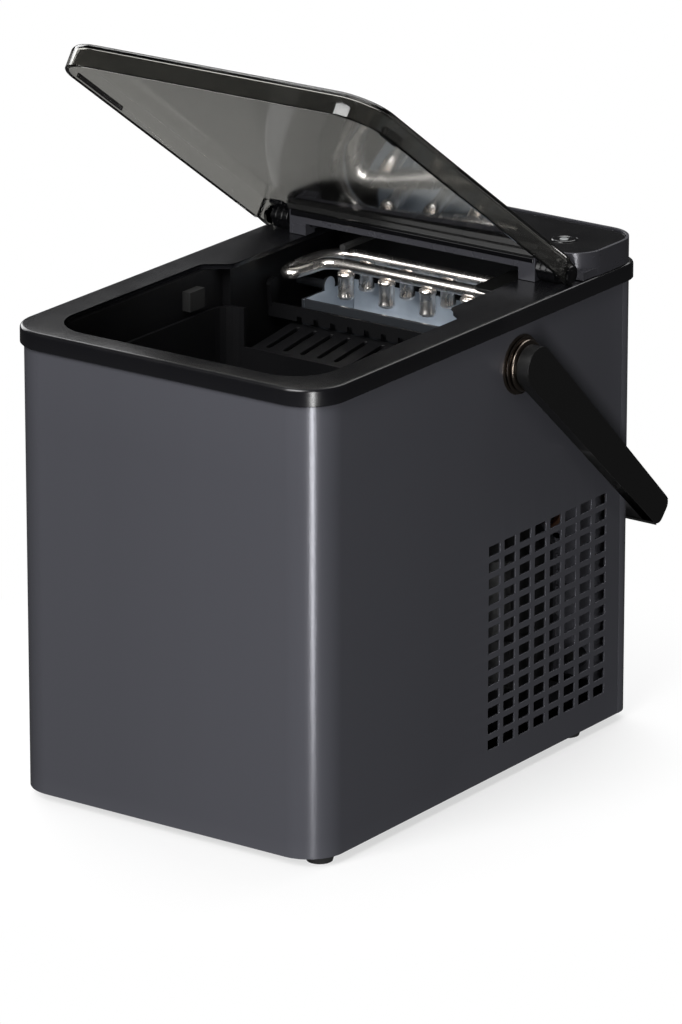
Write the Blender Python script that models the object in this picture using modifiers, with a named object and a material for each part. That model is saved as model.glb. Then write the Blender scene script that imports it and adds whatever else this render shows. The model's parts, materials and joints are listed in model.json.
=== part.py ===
"""Countertop ice maker: a box with a steel wrap, a smoked lid, a carry handle and the
ice-making machinery inside. Metres, +Z up, front towards -Y, feet on z = 0."""

from math import asin, atan2, cos, degrees, hypot, pi, radians, sin

import bmesh
import bpy
from mathutils import Matrix, Vector

# Cabinet. X is measured from the middle plane, Y from the cabinet's own datum.
Y_SHIFT = -0.0039
GAP = 0.0003
SHEET = 0.0012
BODY_HALF = 0.106
BODY_FRONT = -0.1605
BODY_REAR = 0.154
BODY_RADIUS = 0.0217
REAR_RADIUS = 0.012
WRAP_END = 0.1397
BODY_BOTTOM = 0.0055
BODY_TOP = 0.2772
FOOT_HEIGHT = 0.005
FOOT_X = 0.094
FOOT_FRONT_Y = -0.142
FOOT_REAR_Y = 0.106
PAN_FLOOR = 0.0075
RIM_HALF = 0.1095
RIM_FRONT = -0.164
RIM_REAR = 0.158
RIM_RADIUS = 0.0252
RIM_REAR_RADIUS = 0.0155
RIM_BOTTOM = 0.2707
RIM_TOP = 0.2813
RIM_PLATE = 0.0035
RIM_WALL = 0.0032
RIM_SEAM = 0.023
OPENING_HALF = 0.092
OPENING_FRONT = -0.150
OPENING_RADIUS = 0.028
CHAMBER_OPENING_HALF = 0.077
CHAMBER_OPENING_REAR = 0.124
OPENING_STEP = 0.006

# Vents in both sides of the wrap.
VENT_COLUMNS = 8
VENT_ROWS = 13
VENT_FIRST_Y = 0.0105
VENT_FIRST_Z = 0.0259
VENT_PITCH_Y = 0.01557
VENT_PITCH_Z = 0.00978
VENT_WIDTH = 0.0112
VENT_HEIGHT = 0.006
LOUVRE_LENGTH = 0.052
LOUVRE_HEIGHT = 0.0032

# Rear housing with the controls.
HOUSING_TOP = 0.2963
HOUSING_HALF = 0.109
HOUSING_REAR = 0.157
HOUSING_FRONT = 0.0795
HOUSING_WALL = 0.0018
PLINTH_TOP = 0.2865
PANEL_SEAT = 0.2935
BUTTON_X = 0.078
BUTTON_Y = 0.122
BUTTON_RADIUS = 0.0075
BUTTON_TRAVEL = 0.001

# Lid, measured closed from its hinge axis and shown open.
HINGE_Y = 0.086
HINGE_Z = 0.288
LID_OPEN = radians(35.3)
LID_HALF = 0.109
LID_LENGTH = 0.247
LID_REAR = 0.009
LID_TOP = 0.0083
LID_SKIRT = 0.0144
LID_WALL = 0.0025
LID_RADIUS = 0.026
KNUCKLE_INNER = 0.0875
KNUCKLE_OUTER = 0.0995

# Carry handle, a bail on two stacked bosses, resting behind the cabinet.
PIVOT_Y = 0.0345
PIVOT_Z = 0.2477
HANDLE_ANGLE = radians(43)
HANDLE_INNER = 0.1132
HANDLE_OUTER = 0.1212
HANDLE_LENGTH = 0.1795
HANDLE_BAR = 0.0075

# Inner tank: the deep basket well in front and the shallow ice chamber behind it.
WELL_HALF = 0.0894
WELL_FRONT = -0.1476
WELL_REAR = 0.0174
WELL_FLOOR = 0.0868
CHAMBER_HALF = 0.084
CHAMBER_REAR = 0.126
CHAMBER_FLOOR = 0.2098
TANK_WALL = 0.0018
TANK_TOP = 0.2775
TANK_FLANGE = 0.0065
LEDGE_TOP = 0.1647

# Ice basket, and the ramp that leads from the tray into it.
BASKET_HALF = 0.0855
BASKET_FRONT = -0.1437
BASKET_REAR = 0.0135
BASKET_FLOOR = 0.1650
BASKET_TOP = 0.2550
BASKET_WALL = 0.002
RAMP_HALF = 0.069
RAMP_FRONT = 0.0150
RAMP_REAR = 0.0575
RAMP_LOW = 0.2300
RAMP_HIGH = 0.2355

# Ice-making parts in the chamber.
TRAY_AXIS_Y = 0.086
TRAY_AXIS_Z = 0.252
TRAY_HALF = 0.064
TRAY_FRONT = 0.060
TRAY_REAR = 0.112
TRAY_FLOOR = 0.228
TRAY_RIM = 0.250
TRAY_BEND = 0.007
TRAY_WALL = 0.0018
SHOVEL_AXIS_Y = 0.055
SHOVEL_AXIS_Z = 0.257
BLADE_TIP = 0.2385
GEAR_LEFT = -0.0925
GEAR_RIGHT = -0.0865
TRAY_TEETH = 27
SHOVEL_TEETH = 24
TUBE_FRONT_Y = 0.078
TUBE_REAR_Y = 0.099
TUBE_Z = 0.269
TUBE_RADIUS = 0.0035
FINGER_X = (-0.045, -0.016, 0.013, 0.042)
FINGER_RADIUS = 0.0052
FINGER_BOTTOM = 0.2485

# Water, cooling and electric parts under the tank and the chamber.
PUMP_X = -0.040
PUMP_Y = -0.040
HOSE_X = -0.056
HOSE_Z = 0.275
SUCTION_X = 0.066
COMPRESSOR_X = 0.048
COMPRESSOR_Y = 0.090
FAN_Y = 0.0825
FAN_Z = 0.088
FAN_RADIUS = 0.046
FAN_LEFT = -0.0790
FAN_RIGHT = -0.0620
FAN_MIDDLE = -0.0715
FAN_BLADES = 5
DRAIN_X = -0.060
DRAIN_Z = 0.030
CAPILLARY_X = 0.0725
CAPILLARY_Z = 0.262
INLET_X = 0.070
INLET_Z = 0.030

PARTS = "ice_maker"
CUTTERS = "cutters"


# Scene and material helpers


def clear_scene():
    for obj in list(bpy.data.objects):
        bpy.data.objects.remove(obj, do_unlink=True)


def collection(name):
    made = bpy.data.collections.new(name)
    bpy.context.scene.collection.children.link(made)
    return made


def material(name, colour, roughness, metallic=0.0, alpha=1.0):
    made = bpy.data.materials.new(name)
    made.use_nodes = True
    shader = made.node_tree.nodes["Principled BSDF"]
    shader.inputs["Base Color"].default_value = (*colour, 1.0)
    shader.inputs["Roughness"].default_value = roughness
    shader.inputs["Metallic"].default_value = metallic
    shader.inputs["Alpha"].default_value = alpha
    return made


def finish(name, mesh, finish_name, origin=(0.0, 0.0, 0.0)):
    """A named part from a mesh given in cabinet coordinates, with its origin moved to `origin`."""
    offset = Vector(origin)
    mesh.transform(Matrix.Translation(-offset))
    mesh.materials.clear()
    mesh.materials.append(MATERIALS[finish_name])
    mesh.shade_smooth()
    mesh.set_sharp_from_angle(angle=radians(35))
    obj = bpy.data.objects.new(name, mesh)
    bpy.data.collections[PARTS].objects.link(obj)
    obj.parent = ROOT
    obj.location = offset
    return obj


# Mesh helpers: each returns a mesh in cabinet coordinates


def mesh_of(bm):
    mesh = bpy.data.meshes.new("shape")
    bmesh.ops.recalc_face_normals(bm, faces=bm.faces)
    bm.to_mesh(mesh)
    bm.free()
    return mesh


def boxes(pairs):
    """Several separate boxes in one mesh, for a cutter."""
    bm = bmesh.new()
    for low, high in pairs:
        size = [b - a for a, b in zip(low, high)]
        middle = [(a + b) / 2 for a, b in zip(low, high)]
        made = bmesh.ops.create_cube(bm, size=1.0)["verts"]
        bmesh.ops.scale(bm, vec=size, verts=made)
        bmesh.ops.translate(bm, vec=middle, verts=made)
    return mesh_of(bm)


def box(low, high):
    return boxes([(low, high)])


def spaced(first, pitch, count):
    """Evenly spaced positions."""
    return [first + pitch * i for i in range(count)]


AXES = {
    "X": Matrix.Rotation(pi / 2, 4, "Y"),
    "Y": Matrix.Rotation(-pi / 2, 4, "X"),
    "Z": Matrix.Identity(4),
}


def cylinder(start, length, radius, axis="Z", segments=24, end_radius=None):
    """A cylinder or cone from the point `start`, running along +axis."""
    bm = bmesh.new()
    bmesh.ops.create_cone(
        bm,
        cap_ends=True,
        segments=segments,
        radius1=radius,
        radius2=radius if end_radius is None else end_radius,
        depth=length,
    )
    bmesh.ops.translate(bm, vec=(0, 0, length / 2), verts=bm.verts)
    bmesh.ops.transform(bm, matrix=Matrix.Translation(start) @ AXES[axis], verts=bm.verts)
    return mesh_of(bm)


def converted(data):
    """The mesh of a curve, with its caps welded."""
    obj = bpy.data.objects.new("curve", data)
    bpy.context.scene.collection.objects.link(obj)
    graph = bpy.context.evaluated_depsgraph_get()
    mesh = bpy.data.meshes.new_from_object(obj.evaluated_get(graph))
    bpy.data.objects.remove(obj)
    bm = bmesh.new()
    bm.from_mesh(mesh)
    bmesh.ops.remove_doubles(bm, verts=bm.verts, dist=1e-6)
    bmesh.ops.recalc_face_normals(bm, faces=bm.faces)
    bm.to_mesh(mesh)
    bm.free()
    return mesh


# A prism's outline is (u, v): along Z it is (x, y), along X (y, z) and along Y (x, z).
PRISM_AXES = {
    "Z": Matrix.Identity(4),
    "X": Matrix(((0, 0, 1, 0), (1, 0, 0, 0), (0, 1, 0, 0), (0, 0, 0, 1))),
    "Y": Matrix(((1, 0, 0, 0), (0, 0, -1, 0), (0, 1, 0, 0), (0, 0, 0, 1))),
}


def prism(outlines, start, end, axis="Z"):
    """The filled outlines, the inner ones being holes, from `start` to `end` along the axis."""
    data = bpy.data.curves.new("outline", "CURVE")
    data.dimensions = "2D"
    data.fill_mode = "BOTH"
    data.extrude = (end - start) / 2
    for points in outlines:
        spline = data.splines.new("POLY")
        spline.points.add(len(points) - 1)
        for point, (u, v) in zip(spline.points, points):
            point.co = (u, v, 0, 1)
        spline.use_cyclic_u = True
    mesh = converted(data)
    middle = (start + end) / 2
    shift = -middle if axis == "Y" else middle
    mesh.transform(PRISM_AXES[axis] @ Matrix.Translation((0, 0, shift)))
    return mesh


def tube(points, radius, resolution=2):
    """A round rod or pipe through the points."""
    data = bpy.data.curves.new("route", "CURVE")
    data.dimensions = "3D"
    data.bevel_depth = radius
    data.bevel_resolution = resolution
    data.use_fill_caps = True
    spline = data.splines.new("POLY")
    spline.points.add(len(points) - 1)
    for point, place in zip(spline.points, points):
        point.co = (*place, 1)
    return converted(data)


def turned(profile, centre, axis="Z", steps=32):
    """A turned shape: the profile is (radius, height), from the top of its outer side down."""
    mesh = bpy.data.meshes.new("profile")
    closed = profile[0] == profile[-1]
    points = [(radius, 0, height) for radius, height in (profile[:-1] if closed else profile)]
    count = len(points)
    edges = [(i, (i + 1) % count) for i in range(count if closed else count - 1)]
    mesh.from_pydata(points, edges, [])
    obj = bpy.data.objects.new("profile", mesh)
    bpy.context.scene.collection.objects.link(obj)
    screw = obj.modifiers.new("Screw", "SCREW")
    screw.steps = steps
    screw.render_steps = steps
    screw.use_merge_vertices = True
    screw.merge_threshold = 0.00001
    result = bake(obj)
    result.transform(Matrix.Translation(centre) @ AXES[axis])
    return result


def bake(obj):
    """The evaluated mesh of a helper object, which is then removed."""
    graph = bpy.context.evaluated_depsgraph_get()
    mesh = bpy.data.meshes.new_from_object(obj.evaluated_get(graph))
    bpy.data.objects.remove(obj)
    return mesh


def helper(mesh):
    obj = bpy.data.objects.new("helper", mesh)
    bpy.data.collections[CUTTERS].objects.link(obj)
    obj.hide_render = True
    obj.display_type = "WIRE"
    return obj


def joined(mesh, others, operation):
    """The mesh after a Boolean with each of the others in turn."""
    for other in others:
        target = helper(mesh)
        cutter = helper(other)
        boolean = target.modifiers.new("Boolean", "BOOLEAN")
        boolean.operation = operation
        boolean.object = cutter
        mesh = bake(target)
        bpy.data.objects.remove(cutter)
    return mesh


def cut(mesh, *others):
    return joined(mesh, others, "DIFFERENCE")


def union(mesh, *others):
    return joined(mesh, others, "UNION")


def bevelled(mesh, width, segments=2, angle=40):
    obj = helper(mesh)
    bevel = obj.modifiers.new("Bevel", "BEVEL")
    bevel.width = width
    bevel.segments = segments
    bevel.limit_method = "ANGLE"
    bevel.angle_limit = radians(angle)
    return bake(obj)


# Outline helpers


def arc(centre, radius, start, end, steps=6):
    """Points of an arc, with its angles in degrees."""
    angles = [radians(start + (end - start) * i / steps) for i in range(steps + 1)]
    return [(centre[0] + radius * cos(a), centre[1] + radius * sin(a)) for a in angles]


def rounded(low, high, radius, steps=5):
    """A rectangle with rounded corners, anticlockwise."""
    x0, y0 = low[0] + radius, low[1] + radius
    x1, y1 = high[0] - radius, high[1] - radius
    return (
        arc((x1, y1), radius, 0, 90, steps)
        + arc((x0, y1), radius, 90, 180, steps)
        + arc((x0, y0), radius, 180, 270, steps)
        + arc((x1, y0), radius, 270, 360, steps)
    )


def mirrored(points):
    """An outline from its right half, given from the rear or top to the front or bottom."""
    return points + [(-x, y) for x, y in reversed(points)]


def smooth_route(places, steps=4):
    """Points on a Catmull-Rom curve through the places."""
    knots = [Vector(place) for place in places]
    ends = [2 * knots[0] - knots[1], *knots, 2 * knots[-1] - knots[-2]]
    route = [knots[0]]
    for a, b, c, d in zip(ends, ends[1:], ends[2:], ends[3:]):
        for i in range(1, steps + 1):
            t = i / steps
            first = (c - a) * t
            second = (2 * a - 5 * b + 4 * c - d) * t**2
            third = (3 * b - a - 3 * c + d) * t**3
            route.append((2 * b + first + second + third) / 2)
    return route


def bent_route(corners, radius, steps=4):
    """Straight runs between the corners, with each corner rounded to the radius."""
    places = [Vector(corner) for corner in corners]
    route = [places[0]]
    for before, corner, after in zip(places, places[1:], places[2:]):
        one = (before - corner).normalized()
        two = (after - corner).normalized()
        half = one.angle(two) / 2
        reach = radius / (sin(half) / cos(half))
        start = corner + one * reach
        end = corner + two * reach
        for i in range(steps + 1):
            t = i / steps
            route.append(start.lerp(corner, t).lerp(corner.lerp(end, t), t))
    route.append(places[-1])
    return route


# Cabinet


def feet():
    height = FOOT_HEIGHT - GAP
    for side, x in (("left", -FOOT_X), ("right", FOOT_X)):
        for end, y in (("front", FOOT_FRONT_Y), ("rear", FOOT_REAR_Y)):
            mesh = cylinder((x, y, 0), height, 0.0075, segments=20, end_radius=0.0088)
            finish(f"foot_{end}_{side}", mesh, "rubber")


def pan_outline(inset):
    """The floor's plan inside the wrap and the rear panel, at a given inset from them."""
    rear_centre = (BODY_HALF - REAR_RADIUS, BODY_REAR - REAR_RADIUS)
    front_centre = (BODY_HALF - BODY_RADIUS, BODY_FRONT + BODY_RADIUS)
    rear = arc(rear_centre, REAR_RADIUS - inset, 90, 0, 5)
    front = arc(front_centre, BODY_RADIUS - inset, 0, -90, 8)
    return mirrored(rear + front)


def base_pan():
    inset = SHEET + GAP
    wall = 0.0025
    top = 0.017
    pan = prism([pan_outline(inset)], FOOT_HEIGHT, top)
    hollow = prism([pan_outline(inset + wall)], PAN_FLOOR, top + 0.003)
    slots = boxes(
        [((-0.050, y, 0), (-0.020, y + 0.004, 0.02)) for y in spaced(0.020, 0.012, 4)]
    )
    finish("base_pan", cut(pan, hollow, slots), "black_plastic")


def side_outline(inset):
    """Half of the cabinet's plan at a given inset, from the wrap's end to the front's middle."""
    radius = BODY_RADIUS - inset
    centre = (BODY_HALF - BODY_RADIUS, BODY_FRONT + BODY_RADIUS)
    return [(BODY_HALF - inset, WRAP_END)] + arc(centre, radius, 0, -90, 8)


def rear_outline(inset):
    radius = REAR_RADIUS - inset
    centre = (BODY_HALF - REAR_RADIUS, BODY_REAR - REAR_RADIUS)
    return [(BODY_HALF - inset, WRAP_END + GAP)] + arc(centre, radius, 0, 90, 5)


def ribbon(outline):
    """A bent sheet's outline, open at the far end, from a half outline at a given inset."""
    outer = mirrored(outline(0))
    inner = mirrored(outline(SHEET))
    return outer + inner[::-1]


def vent_cutter():
    holes = []
    for row in range(VENT_ROWS):
        z = VENT_FIRST_Z + row * VENT_PITCH_Z
        for column in range(VENT_COLUMNS):
            y = VENT_FIRST_Y + column * VENT_PITCH_Y
            low = (-0.12, y - VENT_WIDTH / 2, z - VENT_HEIGHT / 2)
            high = (0.12, y + VENT_WIDTH / 2, z + VENT_HEIGHT / 2)
            holes.append((low, high))
    return boxes(holes)


def outer_wrap():
    wrap = prism([ribbon(side_outline)], BODY_BOTTOM, BODY_TOP)
    pivot_hole = cylinder((-0.12, PIVOT_Y, PIVOT_Z), 0.24, 0.006, "X", 16)
    finish("outer_wrap", cut(wrap, vent_cutter(), pivot_hole), "painted_steel")


def rear_panel():
    panel = prism([ribbon(rear_outline)], BODY_BOTTOM, BODY_TOP)
    behind = BODY_REAR + 0.01
    through = BODY_REAR - 0.01
    louvres = boxes(
        [
            ((x, through, z), (x + LOUVRE_LENGTH, behind, z + LOUVRE_HEIGHT))
            for x in (-LOUVRE_LENGTH - 0.008, 0.008)
            for z in spaced(0.070, 0.010, 5)
        ]
    )
    cord_hole = cylinder((INLET_X, through, INLET_Z), 0.02, 0.0062, "Y", 16)
    drain_hole = cylinder((DRAIN_X, through, DRAIN_Z), 0.02, 0.0072, "Y", 16)
    finish("rear_panel", cut(panel, louvres, cord_hole, drain_hole), "painted_steel")


def rim_front_outline(inset):
    centre = (RIM_HALF - RIM_RADIUS, RIM_FRONT + RIM_RADIUS)
    return [(RIM_HALF - inset, RIM_SEAM)] + arc(centre, RIM_RADIUS - inset, 0, -90, 8)


def rim_rear_outline(inset):
    radius = RIM_REAR_RADIUS
    centre = (RIM_HALF - radius, RIM_REAR - radius)
    return [(RIM_HALF - inset, RIM_SEAM + GAP)] + arc(centre, radius - inset, 0, 90, 7)


def rim(outline, opening):
    """A flat plate around half of the opening, with a skirt down its outer edge."""
    outer = mirrored(outline(0))
    plate_low = RIM_TOP - RIM_PLATE
    plate = prism([outer + mirrored(opening)[::-1]], plate_low, RIM_TOP)
    skirt_outline = outer + mirrored(outline(RIM_WALL))[::-1]
    skirt = prism([skirt_outline], RIM_BOTTOM, plate_low + 0.001)
    return union(plate, skirt)


def front_bezel():
    centre = (OPENING_HALF - OPENING_RADIUS, OPENING_FRONT + OPENING_RADIUS)
    opening = [
        (CHAMBER_OPENING_HALF, RIM_SEAM),
        (CHAMBER_OPENING_HALF, OPENING_STEP + 0.004),
        (OPENING_HALF, OPENING_STEP - 0.006),
    ] + arc(centre, OPENING_RADIUS, 0, -90, 7)
    finish("front_bezel", rim(rim_front_outline, opening), "black_gloss")


def rear_deck():
    opening = [
        (CHAMBER_OPENING_HALF, RIM_SEAM + GAP),
        (CHAMBER_OPENING_HALF, CHAMBER_OPENING_REAR),
    ]
    finish("rear_deck", rim(rim_rear_outline, opening), "black_gloss")


# Control housing


def housing_half(inset, front, pocket):
    """Half of the housing's plan, from its rear to its front."""
    radius = 0.020
    corner = 0.020
    rear = arc((HOUSING_HALF - radius, HOUSING_REAR - radius), radius - inset, 90, 0, 6)
    bend = arc((HOUSING_HALF - corner, 0.115), corner - inset, 0, -68, 6)
    return rear + bend + [(pocket - inset, 0.0962 + inset), (pocket - inset, front + inset)]


def control_housing():
    pocket = KNUCKLE_INNER - 0.001
    shell = prism([mirrored(housing_half(0, HOUSING_FRONT, pocket))], RIM_TOP + GAP, HOUSING_TOP)
    plinth_half = [(0.1085, 0.1365), (0.1085, 0.0965)]
    plinth = prism([mirrored(plinth_half)], RIM_TOP + 2 * GAP, PLINTH_TOP)
    recess = prism(
        [mirrored(housing_half(HOUSING_WALL, HOUSING_FRONT + 0.004, pocket))], PANEL_SEAT, HOUSING_TOP + 0.01
    )
    hollow = prism(
        [mirrored(housing_half(HOUSING_WALL + 0.001, 0.086, 0.082))], RIM_TOP - 0.01, HOUSING_TOP - 0.0043
    )
    mouth = box((-0.075, 0.07, RIM_TOP - 0.01), (0.075, 0.10, 0.2888))
    bores = [
        cylinder((sign * 0.0785 - 0.009, HINGE_Y, HINGE_Z), 0.018, 0.0025, "X", 12)
        for sign in (-1, 1)
    ]
    button_holes = [
        cylinder((sign * BUTTON_X, BUTTON_Y, 0.285), 0.02, 0.0045, "Z", 16) for sign in (-1, 1)
    ]
    body = cut(union(shell, plinth), recess, hollow, mouth, *bores, *button_holes)
    finish("control_housing", body, "painted_steel")


def control_panel():
    pocket = KNUCKLE_INNER - 0.001
    edge = HOUSING_WALL + GAP
    low = PANEL_SEAT + GAP
    plate = prism([mirrored(housing_half(edge, HOUSING_FRONT + 0.004, pocket))], low, low + 0.0016)
    holes = [
        cylinder((sign * BUTTON_X, BUTTON_Y, low - 0.01), 0.02, BUTTON_RADIUS + 0.0004, "Z", 20)
        for sign in (-1, 1)
    ]
    window = box((-0.0453, BUTTON_Y - 0.0053, low - 0.01), (0.0453, BUTTON_Y + 0.0053, low + 0.01))
    finish("control_panel", cut(plate, window, *holes), "black_gloss")
    low_window = low + GAP
    finish(
        "indicator_window",
        box((-0.045, BUTTON_Y - 0.005, low_window), (0.045, BUTTON_Y + 0.005, low_window + 0.0012)),
        "smoked_plastic",
    )


def buttons():
    low = PANEL_SEAT + GAP + BUTTON_TRAVEL + 0.0002
    for name, x in (("power_button", BUTTON_X), ("select_button", -BUTTON_X)):
        profile = [
            (0, HOUSING_TOP - 0.0002),
            (BUTTON_RADIUS - 0.0008, HOUSING_TOP - 0.0002),
            (BUTTON_RADIUS, HOUSING_TOP - 0.0008),
            (BUTTON_RADIUS, low),
            (0.0038, low),
            (0.0038, 0.2901),
            (0, 0.2901),
        ]
        mesh = turned(profile, (x, BUTTON_Y, 0), steps=20)
        finish(name, mesh, "button_plastic", origin=(x, BUTTON_Y, HOUSING_TOP))


def control_board():
    low = 0.2862
    plate = box((-0.088, 0.110, low), (0.088, 0.134, low + 0.0016))
    switches = [
        box((sign * BUTTON_X - 0.003, 0.119, low + 0.001), (sign * BUTTON_X + 0.003, 0.125, 0.2888))
        for sign in (-1, 1)
    ]
    chips = [
        box((x, 0.127, low + 0.001), (x + 0.010, 0.132, low + 0.003)) for x in (-0.040, -0.010, 0.030)
    ]
    finish("control_board", union(plate, *switches, *chips), "circuit_board")
    finish("board_tray", box((-0.094, 0.105, 0.2842), (0.094, 0.140, 0.2856)), "black_plastic")


# Lid


def lid():
    wall = LID_WALL
    centre = (LID_HALF - LID_RADIUS, -LID_LENGTH + LID_RADIUS)
    outer = [(LID_HALF, -LID_REAR)] + arc(centre, LID_RADIUS, 0, -90, 8)
    inner = [(LID_HALF - wall, -LID_REAR - wall)] + arc(centre, LID_RADIUS - wall, 0, -90, 8)
    block = prism([mirrored(outer)], LID_TOP - LID_SKIRT, LID_TOP)
    hollow = prism([mirrored(inner)], LID_TOP - LID_SKIRT - 0.01, LID_TOP - wall)
    relief = KNUCKLE_OUTER + GAP
    rear_relief = box((-relief, -0.03, -0.02), (relief, 0, LID_TOP - wall + GAP))
    place(
        "lid",
        cut(bevelled(block, 0.0012, 2, 50), hollow, rear_relief),
        "smoked_plastic",
        LID_AXIS,
    )


def knuckles():
    radius = 0.0062
    for side, sign in (("left", -1), ("right", 1)):
        ends = sorted((sign * KNUCKLE_INNER, sign * KNUCKLE_OUTER))
        web_top = LID_TOP - LID_WALL - GAP
        outline = arc((0, 0), radius, -60, 60, 8) + [
            (-0.012, web_top),
            (-0.034, web_top),
            (-0.034, web_top - 0.003),
            (-0.014, -0.0056),
            (-0.008, -0.0062),
        ]
        web = prism([outline], *ends, axis="X")
        start = sign * 0.080 if sign > 0 else -KNUCKLE_INNER - 0.001
        pin = cylinder((start, 0, 0), KNUCKLE_INNER - 0.080 + 0.001, 0.002, "X", 12)
        place(f"lid_knuckle_{side}", union(web, pin), "black_plastic", LID_AXIS)


# Carry handle


def handle():
    half_width = 0.009
    root_radius = 0.0125
    tilt = degrees(asin((root_radius - half_width) / HANDLE_LENGTH))
    outline = arc((0, 0), root_radius, 90 - tilt, 270 + tilt, 14) + [
        (HANDLE_LENGTH, -half_width),
        (HANDLE_LENGTH, half_width),
    ]
    arms = [
        bevelled(prism([outline], *sorted((sign * HANDLE_INNER, sign * HANDLE_OUTER)), axis="X"), 0.0015)
        for sign in (-1, 1)
    ]
    bar_outline = [
        (HANDLE_LENGTH, -half_width),
        (HANDLE_LENGTH, half_width),
        (HANDLE_LENGTH - HANDLE_BAR, half_width),
        (HANDLE_LENGTH - HANDLE_BAR, -half_width),
    ]
    bar = bevelled(prism([bar_outline], -HANDLE_OUTER, HANDLE_OUTER, axis="X"), 0.0015)
    bores = [
        cylinder((sign * 0.1163 - 0.0033, 0, 0), 0.0066, 0.0049, "X", 16) for sign in (-1, 1)
    ]
    place("carry_handle", cut(union(bar, *arms), *bores), "black_plastic", HANDLE_AXIS)


def handle_bosses():
    wall = BODY_HALF + GAP
    profile = [
        (0.0, 0.1192),
        (0.0045, 0.1192),
        (0.0045, 0.1129),
        (0.0148, 0.1129),
        (0.0155, 0.1122),
        (0.0155, 0.1112),
        (0.0148, 0.1108),
        (0.0166, 0.1104),
        (0.0166, 0.1090),
        (0.0158, 0.1086),
        (0.0175, 0.1082),
        (0.0175, wall),
        (0.0055, wall),
        (0.0055, 0.0990),
        (0.0, 0.0990),
    ]
    right = turned(profile, (0, PIVOT_Y, PIVOT_Z), "X", 20)
    left = right.copy()
    left.transform(Matrix.Scale(-1, 4, (1, 0, 0)))
    left.flip_normals()
    finish("handle_boss_right", right, "bronze")
    finish("handle_boss_left", left, "bronze")


# Tank and what stands in it


def inner_tank():
    wall = TANK_WALL
    outer = box(
        (-WELL_HALF - wall, WELL_FRONT - wall, WELL_FLOOR - wall),
        (WELL_HALF + wall, WELL_REAR + wall, TANK_TOP),
    )
    chamber = box(
        (-CHAMBER_HALF - wall, WELL_REAR - 0.004, CHAMBER_FLOOR - wall),
        (CHAMBER_HALF + wall, CHAMBER_REAR + wall, TANK_TOP),
    )
    reach = wall + TANK_FLANGE
    flange_outline = rounded(
        (-WELL_HALF - reach, WELL_FRONT - reach), (WELL_HALF + reach, CHAMBER_REAR + reach), 0.016, 4
    )
    flange = prism([flange_outline], TANK_TOP - wall, TANK_TOP)
    well = box((-WELL_HALF, WELL_FRONT, WELL_FLOOR), (WELL_HALF, WELL_REAR, TANK_TOP + 0.01))
    room = box(
        (-CHAMBER_HALF, WELL_REAR - 0.012, CHAMBER_FLOOR), (CHAMBER_HALF, CHAMBER_REAR, TANK_TOP + 0.01)
    )
    shafts = [
        cylinder((-0.1, TRAY_AXIS_Y, TRAY_AXIS_Z), 0.2, 0.0034, "X", 16),
        cylinder((-0.1, SHOVEL_AXIS_Y, SHOVEL_AXIS_Z), 0.2, 0.0026, "X", 12),
    ]
    ports = [
        cylinder((HOSE_X, 0.12, HOSE_Z), 0.03, 0.0027, "Y", 12),
        cylinder((SUCTION_X, 0.12, TUBE_Z), 0.03, 0.0034, "Y", 12),
        cylinder((CAPILLARY_X, 0.12, CAPILLARY_Z), 0.03, 0.0018, "Y", 12),
        cylinder((PUMP_X, PUMP_Y, 0.07), 0.03, 0.003, "Z", 12),
        cylinder((DRAIN_X, 0.0, 0.07), 0.03, 0.003, "Z", 12),
    ]
    ledges = [
        box((x, y, LEDGE_TOP - 0.0147), (x + 0.008, y + 0.020, LEDGE_TOP))
        for x in (-WELL_HALF - 0.0005, WELL_HALF - 0.0075)
        for y in (-0.110, -0.030)
    ]
    tank = cut(union(outer, chamber, flange), well, room, *shafts, *ports)
    finish("inner_tank", union(tank, *ledges), "tank_plastic")


def tank_insulation():
    clear = TANK_WALL + 0.0005
    jacket = prism([rounded((-0.100, -0.1565), (0.100, 0.026), 0.016, 4)], 0.0765, 0.2700)
    inside = box(
        (-WELL_HALF - clear, WELL_FRONT - clear, WELL_FLOOR - clear),
        (WELL_HALF + clear, WELL_REAR + clear, 0.3),
    )
    chamber_way = box((-0.11, 0.013, CHAMBER_FLOOR - clear), (0.11, 0.05, 0.3))
    pump_way = cylinder((PUMP_X, PUMP_Y, 0.06), 0.05, 0.0058, "Z", 16)
    drain_way = cylinder((DRAIN_X, 0.0, 0.06), 0.05, 0.0052, "Z", 16)
    finish("tank_insulation", cut(jacket, inside, chamber_way, pump_way, drain_way), "foam")


def ice_basket():
    wall = BASKET_WALL
    low, high = (-BASKET_HALF, BASKET_FRONT), (BASKET_HALF, BASKET_REAR)
    block = prism([rounded(low, high, 0.012, 4)], BASKET_FLOOR, BASKET_TOP)
    inner = rounded([c + wall for c in low], [c - wall for c in high], 0.010, 4)
    hollow = prism([inner], BASKET_FLOOR + wall, BASKET_TOP + 0.01)
    floor_slots = boxes(
        [
            ((x - 0.0025, y, BASKET_FLOOR - 0.01), (x + 0.0025, y + 0.030, BASKET_FLOOR + 0.01))
            for x in spaced(-0.060, 0.024, 6)
            for y in spaced(-0.125, 0.045, 3)
        ]
    )
    scoop_notch = box((-0.045, -0.16, 0.236), (0.045, -0.13, 0.27))
    rear_notch = box((-0.070, 0.0, 0.2315), (0.070, 0.03, 0.27))
    finish("ice_basket", cut(block, hollow, floor_slots, scoop_notch, rear_notch), "basket_plastic")


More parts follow.
